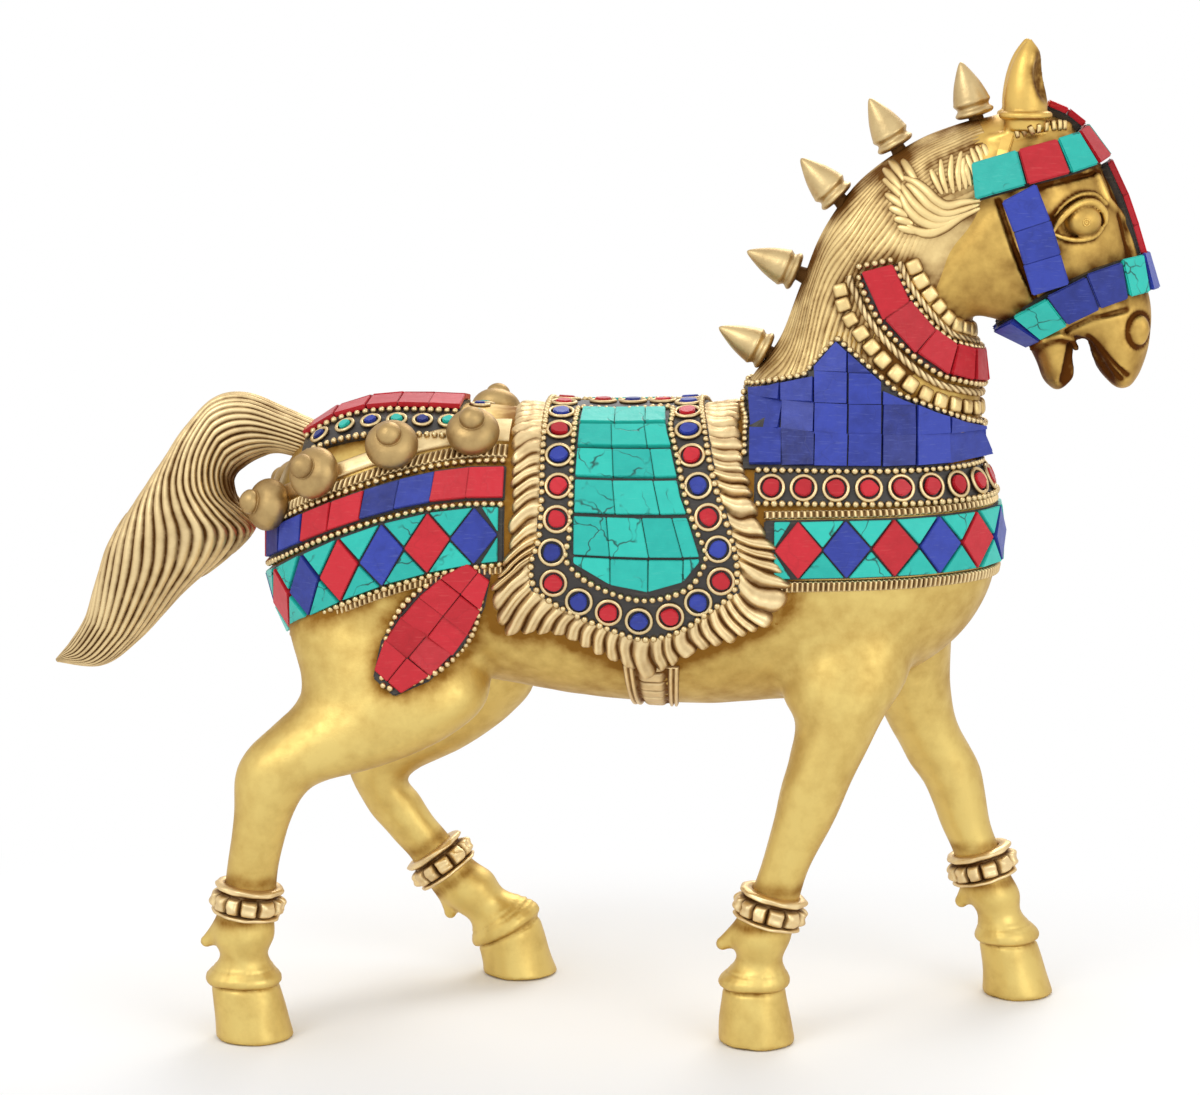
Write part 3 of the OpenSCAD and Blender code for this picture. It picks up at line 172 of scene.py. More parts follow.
class Mould:
    """A block of distances to a casting's skin, in which castings are melted together and carved."""

    def __init__(self, low, high, pitch, band):
        self.pitch, self.band = pitch, band
        self.corner = np.floor(np.array(low) / pitch).astype(int)
        self.shape = tuple(np.ceil((np.array(high) - low) / pitch).astype(int))
        self.field = np.full(self.shape, band, np.float32)

    def places(self):
        """Millimetre places of the block's cells."""
        g = [(np.arange(n) + c) * self.pitch for n, c in zip(self.shape, self.corner)]
        return np.meshgrid(*g, indexing="ij", sparse=True)

    def add(self, skin, soft, thin=0.0):
        """Melts a closed skin in, made thinner where asked, with a seam as soft as given."""
        points, quads, ends = skin
        grid = openvdb.FloatGrid.createLevelSetFromPolygons(
            points.astype(np.float32), ends.astype(np.uint32), quads.astype(np.uint32),
            openvdb.createLinearTransform(self.pitch), self.band / self.pitch)
        other = np.empty(self.shape, np.float32)
        grid.copyToArray(other, tuple(int(v) for v in self.corner))
        self.melt(other + thin, soft)

    def melt(self, other, soft):
        """Joins a form on."""
        h = np.clip(0.5 + 0.5 * (other - self.field) / soft, 0, 1)
        self.field = (other + (self.field - other) * h - soft * h * (1 - h)).astype(np.float32)

    def carve(self, other, soft):
        """Takes a form away."""
        h = np.clip(0.5 + 0.5 * (other + self.field) / soft, 0, 1)
        self.field = (-other + (self.field + other) * h + soft * h * (1 - h)).astype(np.float32)

    def egg(self, middle, radii):
        """A rounded lump, to melt in or to carve away."""
        x, y, z = self.places()
        k = np.sqrt(((x - middle[0]) / radii[0]) ** 2 + ((y - middle[1]) / radii[1]) ** 2
                    + ((z - middle[2]) / radii[2]) ** 2)
        return ((k - 1) * min(radii)).astype(np.float32)

    def rod(self, points, radii):
        """A bent rod through the points, with its own radius at each."""
        out = np.full(self.shape, self.band, np.float32)
        grid = self.places()
        for a, b, ra, rb in zip(points, points[1:], radii, radii[1:]):
            d = np.subtract(b, a)
            reach = self.band + max(ra, rb)
            low = np.floor((np.minimum(a, b) - reach) / self.pitch).astype(int) - self.corner
            high = np.ceil((np.maximum(a, b) + reach) / self.pitch).astype(int) - self.corner
            box = tuple(slice(max(i, 0), max(j, 0)) for i, j in zip(low, high))
            x, y, z = (np.take(g, np.arange(n)[s], axis=i)
                       for i, (g, n, s) in enumerate(zip(grid, self.shape, box)))
            t = np.clip(((x - a[0]) * d[0] + (y - a[1]) * d[1] + (z - a[2]) * d[2]) / (d @ d), 0, 1)
            r = np.sqrt((x - a[0] - t * d[0]) ** 2 + (y - a[1] - t * d[1]) ** 2 + (z - a[2] - t * d[2]) ** 2)
            out[box] = np.minimum(out[box], r - ra - (rb - ra) * t)
        return out

    def pour(self):
        """Skin of the finished casting as points and quads, facing out."""
        grid = openvdb.FloatGrid(self.band)
        grid.copyFromArray(np.clip(self.field, -self.band, self.band), tuple(int(v) for v in self.corner))
        grid.transform = openvdb.createLinearTransform(self.pitch)
        points, quads = grid.convertToQuads(0.0)
        points, quads = points.astype(float), quads.astype(int)
        a, b, c = points[quads[:, 0]], points[quads[:, 1]], points[quads[:, 2]]
        if np.einsum("ij,ij->", a, np.cross(b, c)) < 0:
            quads = quads[:, ::-1]
        edges = np.unique(np.sort(np.concatenate([quads[:, [0, 1]], quads[:, [1, 2]], quads[:, [2, 3]],
                                                  quads[:, [3, 0]]]), 1), axis=0)
        for k in (0.5, -0.52, 0.5, -0.52):
            points = points + k * (around(points, edges) - points)
        return points, quads


def around(values, edges):
    """Mean of each point's neighbours."""
    total, count = np.zeros_like(values), np.zeros(len(values))
    for a, b in ((0, 1), (1, 0)):
        np.add.at(total, edges[:, a], values[edges[:, b]])
        np.add.at(count, edges[:, a], 1)
    return total / np.maximum(count, 1).reshape(-1, *[1] * (values.ndim - 1))


def placed(name, data):
    """An object of the given data, put into the scene."""
    obj = bpy.data.objects.new(name, data)
    bpy.context.scene.collection.objects.link(obj)
    return obj


def add_grime_and_shade(obj, more):
    """Adds to the dark layer of a piece's points, brown oxide and painted shade alike, which goes from 0 for
    bright to 1 for dark.
    """
    mesh = obj.data
    layer = mesh.attributes.get("grime") or mesh.attributes.new("grime", "FLOAT", "POINT")
    old = np.zeros(len(mesh.vertices), np.float32)
    layer.data.foreach_get("value", old)
    layer.data.foreach_set("value", np.clip(old + more, 0, 1).astype(np.float32))


def piece(name, points, faces, grime=None, smooth=True):
    """A mesh object in metres from points in millimetres."""
    mesh = bpy.data.meshes.new(name)
    mesh.from_pydata((np.asarray(points) * MM).tolist(), [], [list(map(int, f)) for f in faces])
    mesh.polygons.foreach_set("use_smooth", np.full(len(mesh.polygons), smooth))
    mesh.update()
    obj = placed(name, mesh)
    if grime is not None:
        add_grime_and_shade(obj, np.ravel(grime))
    return obj


def skin_of(obj):
    """Points in millimetres and normals of a piece."""
    p, q = np.empty(len(obj.data.vertices) * 3), np.empty(len(obj.data.vertices) * 3)
    obj.data.vertices.foreach_get("co", p)
    obj.data.vertex_normals.foreach_get("vector", q)
    return p.reshape(-1, 3) / MM, q.reshape(-1, 3)


def ripple(p, size, seed, waves=9):
    """Soft random waves of the given size in millimetres, about -1 to 1."""
    rng = np.random.default_rng(seed)
    k = rng.normal(size=(waves, 3)) * 2.6 / size
    return np.sin(p @ k.T + rng.uniform(0, 6.28, waves)).mean(-1) * 1.9


def worn(obj, seed, *waves):
    """Leaves the soft unevenness of hand filing on a piece."""
    p, q = skin_of(obj)
    for size, depth in waves:
        p = p + q * depth * ripple(p, size, seed)[:, None]
    obj.data.vertices.foreach_set("co", (p * MM).ravel())
    obj.data.update()
    return obj


def hollows(obj, gain, spread):
    """Adds the dark that settles in hollows to a piece's grime, from how its skin bends."""
    p, q = skin_of(obj)
    edges = np.empty(len(obj.data.edges) * 2, int)
    obj.data.edges.foreach_get("vertices", edges)
    edges = edges.reshape(-1, 2)
    bend = np.einsum("ij,ij->i", around(p, edges) - p, q)
    for _ in range(spread):
        bend = 0.4 * bend + 0.6 * around(bend, edges)
    add_grime_and_shade(obj, gain * bend)
    return obj


# Brass: bright where hands and polish reach, straw coloured on the chased parts, brown in the recesses, and
# darker where painted shade is laid into the same dark layer.


def links(tree, *pairs):
    """Links sockets, each pair from the first to the second."""
    for a, b in pairs:
        tree.links.new(a, b)


def new_group(name, inputs, outputs, kind="ShaderNodeTree"):
    """A node group with named sockets. Gives the group, what it is given and what it puts out."""
    tree = bpy.data.node_groups.new(name, kind)
    for way, sockets in (("INPUT", inputs), ("OUTPUT", outputs)):
        for label, sort, *value in sockets:
            s = tree.interface.new_socket(label, in_out=way, socket_type="NodeSocket" + sort)
            if value:
                s.default_value = value[0]
    return tree, tree.nodes.new("NodeGroupInput").outputs, tree.nodes.new("NodeGroupOutput").inputs


def feed(tree, socket, value):
    """Links a socket to another one, or gives it a value of its own."""
    if isinstance(value, bpy.types.NodeSocket):
        tree.links.new(value, socket)
    else:
        socket.default_value = value


def node(tree, kind, **values):
    """A node with its settings and its named inputs."""
    made = tree.nodes.new(kind)
    for key, value in values.items():
        if hasattr(made, key):
            setattr(made, key, value)
        else:
            feed(tree, made.inputs[key.replace("_", " ")], value)
    return made


def math_node(tree, op, a, b, clamp=False):
    made = node(tree, "ShaderNodeMath", operation=op, use_clamp=clamp)
    for socket, value in zip(made.inputs, (a, b)):
        feed(tree, socket, value)
    return made.outputs[0]


def mix_node(tree, share, a, b, blend="MIX"):
    made = node(tree, "ShaderNodeMix", data_type="RGBA", blend_type=blend)
    for i, value in ((0, share), (6, a), (7, b)):
        feed(tree, made.inputs[i], value)
    return made.outputs[2]


def noise(tree, place, scale, detail=3.0, rough=0.55):
    """Soft clouds, with scale per metre."""
    made = node(tree, "ShaderNodeTexNoise", Vector=place, Scale=scale, Detail=detail, Roughness=rough)
    return made.outputs["Fac"]


def ramp(tree, value, low, high, **more):
    """Spreads the values between low and high over 0 to 1."""
    return node(tree, "ShaderNodeMapRange", Value=value, From_Min=low, From_Max=high, **more).outputs[0]


patina_and_shade, given, put = new_group(
    "patina_and_shade", [("Bright", "Color"), ("Dark", "Color"), ("Grime", "Float", 0.0), ("Mottle", "Float", 0.35),
               ("Polish", "Float", 0.3)],
    [("Color", "Color"), ("Roughness", "Float"), ("Height", "Float")])
place = patina_and_shade.nodes.new("ShaderNodeTexCoord").outputs["Object"]
blotch, cloud, grain = noise(patina_and_shade, place, 45), noise(patina_and_shade, place, 210, 4), noise(patina_and_shade, place, 1500, 2)
plus, minus, times = (partial(math_node, patina_and_shade, op) for op in ("ADD", "SUBTRACT", "MULTIPLY"))
haze = times(minus(plus(times(blotch, 0.6), times(cloud, 0.4)), 0.46), times(given["Mottle"], 3.2))
spots = times(ramp(patina_and_shade, noise(patina_and_shade, place, 330, 5, 0.7), 0.70, 0.78), given["Mottle"])
deep = times(given["Grime"], plus(times(cloud, 0.9), 0.6))
amount = plus(plus(deep, haze), spots, clamp=True)
rough = plus(plus(given["Polish"], times(amount, 0.3)), times(minus(cloud, 0.5), 0.16))
links(patina_and_shade, (mix_node(patina_and_shade, amount, given["Bright"], given["Dark"]), put["Color"]),
      (rough, put["Roughness"]), (plus(times(cloud, 0.8), times(grain, 0.25)), put["Height"]))


def finish_of(name, group, values, metallic, bump, specular=0.5, layer="grime"):
    """A material from one of the groups, with the shader itself in the material."""
    made = bpy.data.materials.new(name)
    made.use_nodes = True
    tree = made.node_tree
    shader = tree.nodes["Principled BSDF"]
    use = node(tree, "ShaderNodeGroup", node_tree=group)
    for key, value in values.items():
        use.inputs[key].default_value = value
    if layer:
        read = node(tree, "ShaderNodeAttribute", attribute_name=layer)
        tree.links.new(read.outputs["Fac"], use.inputs[layer.capitalize()])
    shader.inputs["Metallic"].default_value = metallic
    shader.inputs["Specular IOR Level"].default_value = specular
    color = use.outputs["Color"]
    if metallic:
        # Painted shade: the metal's colour is multiplied towards brown where its skin turns away from the
        # camera, so its edges look shaded.
        rim = node(tree, "ShaderNodeLayerWeight", Blend=0.42).outputs["Facing"]
        rim = math_node(tree, "MULTIPLY", rim, 0.62)
        color = mix_node(tree, rim, color, (0.52, 0.36, 0.20, 1), "MULTIPLY")
    lift = node(tree, "ShaderNodeBump", Strength=bump, Distance=0.0004, Height=use.outputs["Height"])
    links(tree, (color, shader.inputs["Base Color"]), (use.outputs["Roughness"], shader.inputs["Roughness"]),
          (lift.outputs["Normal"], shader.inputs["Normal"]))
    return made


def brass(name, bright, dark, mottle, polish, bump):
    """Brass with one colour where it is clean and one where the dark layer lies, which holds brown oxide and
    painted shade.
    """
    values = {"Bright": (*bright, 1), "Dark": (*dark, 1), "Mottle": mottle, "Polish": polish}
    return finish_of(name, patina_and_shade, values, 1.0, bump)


plain_brass = brass("plain_brass", (0.79, 0.60, 0.20), (0.36, 0.18, 0.030),
                    mottle=0.44, polish=0.44, bump=0.3)


def settle(obj, material, slot, *nodes):
    """Dresses a finished piece and fixes it to the horse."""
    obj.data.materials.clear()
    obj.data.materials.append(material)
    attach(obj, "root")
    if nodes:
        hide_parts(*nodes)
    return obj


body = Mould((-116, -52, 34), (128, 52, 212), pitch=1.15, band=9.0)
ends = np.sin(np.linspace(0, np.pi / 2, 34))
middle = np.linspace(REAR_X + REAR_ROUND, CHEST_X - CHEST_ROUND, 60)[1:-1]
xs = np.concatenate([REAR_X + REAR_ROUND * (1 - ends[::-1]), middle, CHEST_X - CHEST_ROUND * (1 - ends)])
body.add(closed_skin(on_barrel(xs[:, None], np.linspace(0, 360, 160, endpoint=False)[None])), soft=0.5)
bare = body.field.copy()
body.add(casting_skin(NECK, 0.0, 3.0), soft=2.4)
for rows, cut in LEGS.values():
    body.add(casting_skin(rows, 0.0, cut + 0.35), soft=4.0)
# Under the rump's bands the thighs don't swell past the bare barrel.
x, y, z = body.places()
below = np.clip((rump_line(x) - rump_foot(x) + 1 - z) / 6, 0, 1)
free = np.maximum(below, np.clip((x - RUMP_X) / 4, 0, 1))
body.field = np.maximum(body.field, bare - 0.3 - 14 * free).astype(np.float32)
points, quads = body.pour()
x, y, z = points.T
# Painted shade under the barrel: the belly is darkened. The body above the legs is also made a little darker
# than the legs below it.
belly_shade = np.clip((126 - z) / 22, 0, 1) * np.clip(1.25 - np.abs(x - 12) / 48, 0, 1)
body_piece = piece("body_casting", points, quads, 0.14 * np.clip((z - 62) / 40, 0, 1) + 0.12 * belly_shade)
hollows(worn(body_piece, 2, (30, 0.45), (11, 0.16)), gain=3.0, spread=4)
settle(body_piece, plain_brass, "brass", "torso", *("leg_" + leg for leg in LEGS))

# Fetlocks and hooves
# The lower end of each leg, cast with it below the anklet: a fetlock with a tuft at the back, a slim
# pastern, a raised coronet and a flared hoof that stands flat.


def stain_and_shade(obj, places, reach, amount):
    """Darkens the skin within reach of the given places: brown oxide in some places, painted shade in others.
    """
    tree = KDTree(len(places))
    for i, q in enumerate(places):
        tree.insert(q, i)
    tree.balance()
    near = np.array([tree.find(v.co / MM)[2] for v in obj.data.vertices])
    add_grime_and_shade(obj, amount * np.exp(-(near / reach) ** 2))


for leg, (rows, cut) in LEGS.items():
    top, end = cut - 0.4, len(rows) - 1
    low = on_casting(rows, np.linspace(top, end, 40)[:, None], np.linspace(0, 6.2, 24)[None])
    foot = Mould(low.min((0, 1)) - 9, low.max((0, 1)) + 7, pitch=0.6, band=4.0)
    foot.add(casting_skin(rows, top, end), soft=0.3)
    a, b = on_casting(rows, end - 5, 0.0), on_casting(rows, end - 5, np.pi)
    up, back = unit(on_casting(rows, end - 6, 0.0) - a), unit(a - b)
    foot.melt(foot.rod([a - back * 5.2 + up * 4.0, a + back * 1.5 - up * 2.2], [5.6, 1.9]), 1.6)
    for k, r in ((4.4, 0.2), (4.1, 0.5), (3.8, 0.9), (3.5, 1.2), (3.3, 1.3), (2.95, -0.5)):
        ring = foot.rod(list(on_casting(rows, len(rows) - k, np.linspace(0, 2 * np.pi, 25))), [abs(r)] * 25)
        (foot.melt if r > 0 else foot.carve)(ring, 0.5)
    x, y, z = foot.places()
    foot.carve((z + 0 * x + 0 * y).astype(np.float32), 1.2)
    hoof = piece("hoof_" + leg, *foot.pour())
    hollows(worn(hoof, 3, (12, 0.3)), gain=7.0, spread=2)
    ankle = on_casting(rows, cut + np.array([[0.7], [-0.75]]), np.linspace(0, 2 * np.pi, 40)[None])
    stain_and_shade(hoof, ankle[0], reach=2.0, amount=0.75)
    stain_and_shade(body_piece, ankle[1], reach=2.2, amount=0.6)
    settle(hoof, plain_brass, "brass")

# Anklets
# A cast ring around each leg above the fetlock: two plain rims with a row of square lumps between them.
chased_brass = brass("chased_brass", (0.92, 0.725, 0.395), (0.15, 0.065, 0.016),
                     mottle=0.36, polish=0.42, bump=0.4)


def anklet(at, lean, bore=7.0, half=4.8, lumps=12):
    """Rings of an anklet and their grime."""
    turn, up = whole_turn(240)[:, None], np.linspace(-half, half, 56)[None]
    beat = np.abs(((turn * lumps / (2 * np.pi) + 0.12 * np.sin(3 * turn)) % 1) - 0.5) * 2
    square = np.clip(1 - (beat / 0.88) ** 4, 0, 1) ** 0.5
    square = square * np.clip(1 - (np.abs(up + 0.7) / 2.5) ** 4, 0, 1) ** 0.5
    rim = np.exp(-((up[..., None] - (3.75, -4.15)) / (1.05, 0.7)) ** 4) @ np.array([1.9, 1.8])
    r = 8.3 + 2.9 * square + rim + 0.2 * np.sin(5 * turn + 2 * up) + 0.12 * np.sin(11 * turn - up)
    dirt = 0.8 * np.clip(1.05 - 1.3 * square - 0.75 * rim, 0, 1)
    low = np.linspace(half, -half, 4)[None] + 0 * turn
    r, z = np.concatenate([r, np.full_like(low, bore)], 1), np.concatenate([up + 0 * turn, low], 1)
    x, y = r * np.cos(turn), r * np.sin(turn)
    c, s = math.cos(lean), math.sin(lean)
    return np.stack([x * c + z * s, y, z * c - x * s], -1) + at, np.concatenate([dirt, 0 * low], 1)


def wrap(p):
    """Faces of a surface that closes both ways."""
    m, n = p.shape[:2]
    i = np.arange(m * n).reshape(m, n)
    j, k = np.roll(i, -1, 0), np.roll(i, -1, 1)
    return p.reshape(-1, 3), np.stack([i, j, np.roll(j, -1, 1), k], -1).reshape(-1, 4)


def outward(points, faces):
    """Turns all faces over where they enclose a negative volume."""
    a, b, c = (points[[f[i] for f in faces]] for i in range(3))
    m = points.mean(0)
    volume = np.einsum("ij,ij->", a - m, np.cross(b - m, c - m))
    return faces if volume > 0 else [list(f)[::-1] for f in faces]


for leg, at, lean in (("front_near", (55.5, -29, 41), 14), ("front_far", (118.8, 29, 41), -16),
                      ("hind_near", (-99, -37, 42), 8), ("hind_far", (-51.5, 37, 36), -36)):
    rings, dirt = anklet(np.array(at), math.radians(lean))
    points, faces = wrap(rings)
    ring = piece("anklet_ring_" + leg, points, outward(points, faces.tolist()), dirt)
    settle(hollows(ring, gain=2.0, spread=2), chased_brass, "brass", "anklet_" + leg)

# Neck and mane
# The neck is cast in one with its mane. The strands are chased along it with a liner, and dark patina is
# left between them and round the feet of the spikes.
MANE_STRANDS, MANE_TONES = 46, 90
FINIALS = np.array([[53.9, 201.4, -15.7, 7.9], [62.6, 225.1, -15.4, 6.4], [74.1, 246.3, -12.1, 12.5],
                    [90.5, 261.2, -8.3, 14.2], [112.8, 270.0, -5.3, 17.8]])


def casting_normal(rows, s, a):
    """Direction out of a casting at row s and angle a."""
    ds = on_casting(rows, s + 0.02, a) - on_casting(rows, s - 0.02, a)
    da = on_casting(rows, s, a + 0.01) - on_casting(rows, s, a - 0.01)
    n = unit(np.cross(ds, da))
    out = on_casting(rows, s, a) - (on_casting(rows, s, 0 * a) + on_casting(rows, s, 0 * a + np.pi)) / 2
    return n * np.sign(np.einsum("...i,...i->...", n, out))[..., None]


class Heap:
    """Collects many small closed shapes into one mesh."""

    def __init__(self):
        self.points, self.faces, self.dirt, self.count = [], [], [], 0

    def add(self, points, faces, dirt=0.0):
        """Takes in a closed shape, with the darkness of its points, brown oxide and painted shade alike."""
        points = np.asarray(points, float)
        faces = outward(points, [list(f) for f in faces])
        self.points.append(points)
        self.faces += [[v + self.count for v in f] for f in faces]
        self.dirt.append(np.zeros(len(points)) + np.ravel(dirt))
        self.count += len(points)

    def tube(self, rings, dirt=0.0):
        """Takes in a tube of rings, closed at both ends."""
        points, quads, ends = closed_skin(rings)
        self.add(points, quads.tolist() + ends.tolist(), np.append(dirt + 0 * rings[..., 0], [0, 0]))

    def make(self, name):
        return piece(name, np.concatenate(self.points), self.faces, np.concatenate(self.dirt))


def one_tube(name, rings, dirt):
    """A piece that is a single tube."""
    heap = Heap()
    heap.tube(rings, np.clip(dirt, 0, 1))
    return heap.make(name)


def strand_values(phase, count, low, high, seed):
    """A random value for each strand, at points that lie on strand number phase."""
    return np.random.default_rng(seed).uniform(low, high, count)[np.floor(phase).astype(int) % count]


def throat(x, z):
    """How far a place lies in front of the line where the cheek meets the neck."""
    return (x - 97.4) * 0.787 - (z - 221) * 0.616


s, a = np.meshgrid(np.linspace(0.9, 7.0, 150), whole_turn(640), indexing="ij")
p, n = on_casting(NECK, s, a), casting_normal(NECK, s, a)
off = np.minimum(a, 2 * np.pi - a)
phase = MANE_STRANDS * off / np.pi + 1.1 * np.sin(1.9 * s + 2.5 * off) + 0.9 * ripple(p, 20, 3)
ridge = np.abs(np.sin(np.pi * phase)) ** 0.5
tall = strand_values(phase, MANE_TONES, 0.45, 1.15, 5)
brown = strand_values(phase, MANE_TONES, 0, 1, 15) ** 2 * np.clip(0.6 + ripple(p, 24, 16), 0, 1)
mane = np.clip((1.75 - off) / 0.4, 0, 1) * np.clip(0.55 + s / 4, 0, 1)
mane = mane * (1 - 0.45 * np.clip((s - 4.4) / 0.8, 0, 1))
p = p + n * (0.75 * tall * ridge * mane - 0.3 * mane)[..., None]
feet = np.zeros(off.shape)
for x, z, *_ in FINIALS:
    feet += np.exp(-(((p - (x, 0, z)) ** 2).sum(-1)) / 55)
crest = np.exp(-(off / 0.5) ** 2) * np.clip(0.25 + 0.6 * ripple(p, 11, 8), 0, 1)
cheek = 0.45 * np.clip((throat(p[..., 0], p[..., 2]) + 7.5) / 9, 0, 1) ** 2
dirt = mane * (0.8 * (1 - ridge) ** 1.6 + 0.22 * brown) + 0.2 * (1 - mane) + 0.75 * feet + crest + cheek
neck_piece = one_tube("neck_casting", p, dirt)
mane_brass = brass("mane_brass", (0.93, 0.715, 0.335), (0.20, 0.085, 0.018),
                   mottle=0.38, polish=0.42, bump=0.4)
settle(neck_piece, mane_brass, "brass", "neck")

# Leaf behind the cheek
# Raised in the same casting as the neck and lined with a chisel. The lines are its ribs, the barbs at their
# ends and the fine hair above, each with the half width and height of a rib.
LEAF = (
    (1.75, 1.3, (
        [(114.1, 248.3), (108.7, 247.6), (104.2, 246.6), (101, 248.1), (98, 251), (94.7, 253.3),
         (90.8, 254.6)],
        [(113.5, 247.2), (108.4, 245.4), (103.7, 244.5), (99.5, 246.3), (96.5, 249.2), (94.1, 251.6),
         (92.3, 252.7)],
        [(112.9, 246.3), (107.5, 244), (102.5, 242.6), (98, 244.3), (94.7, 247.2), (92.3, 250.4),
         (90.5, 253)],
        [(112.3, 245.7), (106.3, 242.5), (101.3, 240.9), (96.8, 242.2), (93.5, 245.1), (91.7, 248.1),
         (90.8, 250.4)],
        [(113.8, 246), (108.1, 243.4), (103.4, 240.4), (99.2, 238.8), (95, 239.6), (92.3, 241.6)])),
    (1.5, 1.05, (
        [(95.3, 253.6), (93.2, 256.5), (91.1, 259.5)], [(91.7, 253.6), (89.6, 256.8), (87.5, 259.2)],
        [(91.1, 251), (88.4, 254.2), (85.7, 256.8)], [(91.7, 248.3), (89, 251.3), (85.7, 253.9)],
        [(92.3, 245.7), (89.6, 247.8), (86.3, 249.8)], [(93.2, 243.4), (90.5, 244.8), (87.5, 246)],
        [(94.7, 241.3), (92, 242.2), (89, 242.8)], [(97.4, 239), (93.5, 239.6), (89.9, 240.4)])),
    (1.15, 0.6, (
        [(102.8, 249.8), (100.7, 253.9), (99.2, 257.4)], [(104.2, 250.1), (102.8, 254.5), (102.2, 259.8)],
        [(106, 250.1), (105.1, 255.4), (105.4, 261.2)], [(107.8, 250.7), (107.2, 256.2), (108.1, 262.4)],
        [(109.6, 251.3), (108.7, 256.2), (108.7, 260.3)], [(111.1, 252.2), (109.9, 256.2), (109, 259.2)],
        [(112.6, 253.6), (111.1, 257.4), (109.6, 261.2)], [(113.5, 256), (112.3, 259.5), (110.8, 263)],
        [(114.7, 257.7), (113.8, 260.9), (112.3, 263.6)], [(115.9, 258.9), (115.3, 261.8), (114.1, 264.1)])))


def tree_of(obj):
    """Search tree of a finished piece, in millimetres."""
    faces = [list(f.vertices) for f in obj.data.polygons]
    return BVHTree.FromPolygons([v.co / MM for v in obj.data.vertices], faces)


def drop(tree, line, side):
    """Lays side view points x, z on the near (-1) or far (+1) skin. Gives places and normals."""
    spots, outs = [], []
    for x, z in line:
        hit, out, *_ = tree.ray_cast(Vector((x, side * 90, z)), Vector((0, -side, 0)))
        if hit is None:
            hit, out, *_ = tree.find_nearest(Vector((x, side * 12, z)))
        spots.append(hit[:])
        outs.append(out[:])
    return np.array(spots), np.array(outs)


def along_line(points, count):
    """Places spread evenly along a smooth line through the points."""
    return through(np.asarray(points, float), np.linspace(0, len(points) - 1, count))


def rib(spots, outs, wide, high, sides=12, sink=0.25):
    """Rings of a tapering rib that lies along points on the skin."""
    steps = 6 * len(spots)
    c, n = along_line(spots, steps), unit(along_line(outs, steps))
    side = unit(np.cross(n, np.gradient(c, axis=0)))
    r = (np.sin(np.pi * np.linspace(0.04, 0.985, steps) ** 1.1) ** 0.45)[:, None, None]
    a = whole_turn(sides)[None, :, None]
    across, up = r * wide * np.cos(a), r * high * np.sin(a) - sink * high
    return c[:, None] + across * side[:, None] + up * n[:, None]


leaf, leaf_places, neck_tree = Heap(), [], tree_of(neck_piece)
flanks = 0.9 * np.clip((0.93 - np.sin(whole_turn(12))) / 0.22, 0, 1)[None]
for side in (-1, 1):
    for wide, high, lines in LEAF:
        for line in lines:
            spots, outs = drop(neck_tree, line, side)
            leaf_places.append(along_line(spots, 12))
            leaf.tube(rib(spots, unit(outs + 2 * outs.mean(0)), wide, high), flanks)
stain_and_shade(neck_piece, np.concatenate(leaf_places), reach=2.2, amount=0.55)
settle(hollows(leaf.make("mane_leaf"), gain=2.0, spread=1), mane_brass, "brass")

# Head, jaw and ears
# Cast with the eyes, nostrils and lips in relief, the mouth open, and each ear a cup that opens forward.
HEAD = np.array([
    [112, 268, 108, 240, 13, 0], [124, 274, 110, 228, 17, 0], [138, 271, 112, 219, 19.5, 0],
    [148, 259.5, 117, 214, 19, 0], [155, 245, 124, 210, 16.5, 0], [159.5, 232, 131, 207, 13.5, 0],
    [164, 218, 140, 206, 11.8, 0], [164, 207, 147, 201, 11.4, 0], [162, 199, 150.5, 196.6, 9.6, 0],
    [159.5, 194.2, 153.5, 193.6, 6.5, 0], [157.5, 192.8, 155.5, 192.6, 2.5, 0]])
JAW = np.array([
    [147, 214, 124, 214, 11.5, 0], [145, 208, 127.5, 207, 11, 0], [143.4, 201, 131.2, 200.5, 10, 0],
    [142.4, 196.4, 133.4, 195.4, 8.8, 0], [140.2, 193.6, 135.6, 193, 5.8, 0],
    [138.6, 192.4, 137, 192.2, 2.2, 0]])
EAR = np.array([
    [121, 268, 132, 268, 5.2, 0], [120.1, 276, 132.6, 277, 6, 0], [121, 283, 131.8, 284, 4.9, 0],
    [123.2, 289, 130.4, 289.5, 3, 0], [126.6, 293.8, 127.6, 293.8, 0.5, 0]])
EAR_Y, NECK_END = 11, [124, 266, 134, 241, 12, 0]
# Lines on the side of the head. Lids have a radius and a lift, cuts a radius.
EYE, NOSTRIL = (143.2, 242.0), (160.6, 210.4)
LIDS = (
    ([(133.9, 239.2), (136.9, 243.6), (141, 246.9), (145.4, 247.2), (148.4, 244.4), (149, 241.6)], 1.1, 1.5),
    ([(134.6, 243.6), (137.6, 247.2), (141.8, 249.6), (146.4, 249.6), (149.8, 246.6)], 0.6, 0.5),
    ([(133.9, 239.0), (137.6, 237.6), (142, 236.9), (146.4, 237.9), (149, 241.2)], 0.85, 0.9))
CUTS = (
    ([(118.8, 248), (122.4, 237.5), (126, 228.5), (129.8, 220.2)], 0.8),
    ([(139.4, 210.3), (146.9, 214.1), (156.6, 216.4)], 0.7),
    ([(145.9, 208.5), (151.2, 203.2), (157.2, 197.4)], 0.65),
    ([(147.4, 205.9), (151.6, 200.9), (155.5, 196.4)], 0.6),
    ([(149.6, 255), (152.4, 247), (155, 238.5), (158, 228)], 0.7), ([(131.9, 243.8), (135.2, 241.8)], 0.4),
    ([(132.2, 241), (135.4, 240.5)], 0.4), ([(133, 238.3), (136, 239.3)], 0.4),
    ([(130, 252.2), (139, 254.2), (148, 255.6)], 0.6))
CROWN = [(116.5, 265.4), (120.4, 266.3), (124.9, 267.4), (130, 268.6), (135.3, 269.4), (138.6, 269.2)]
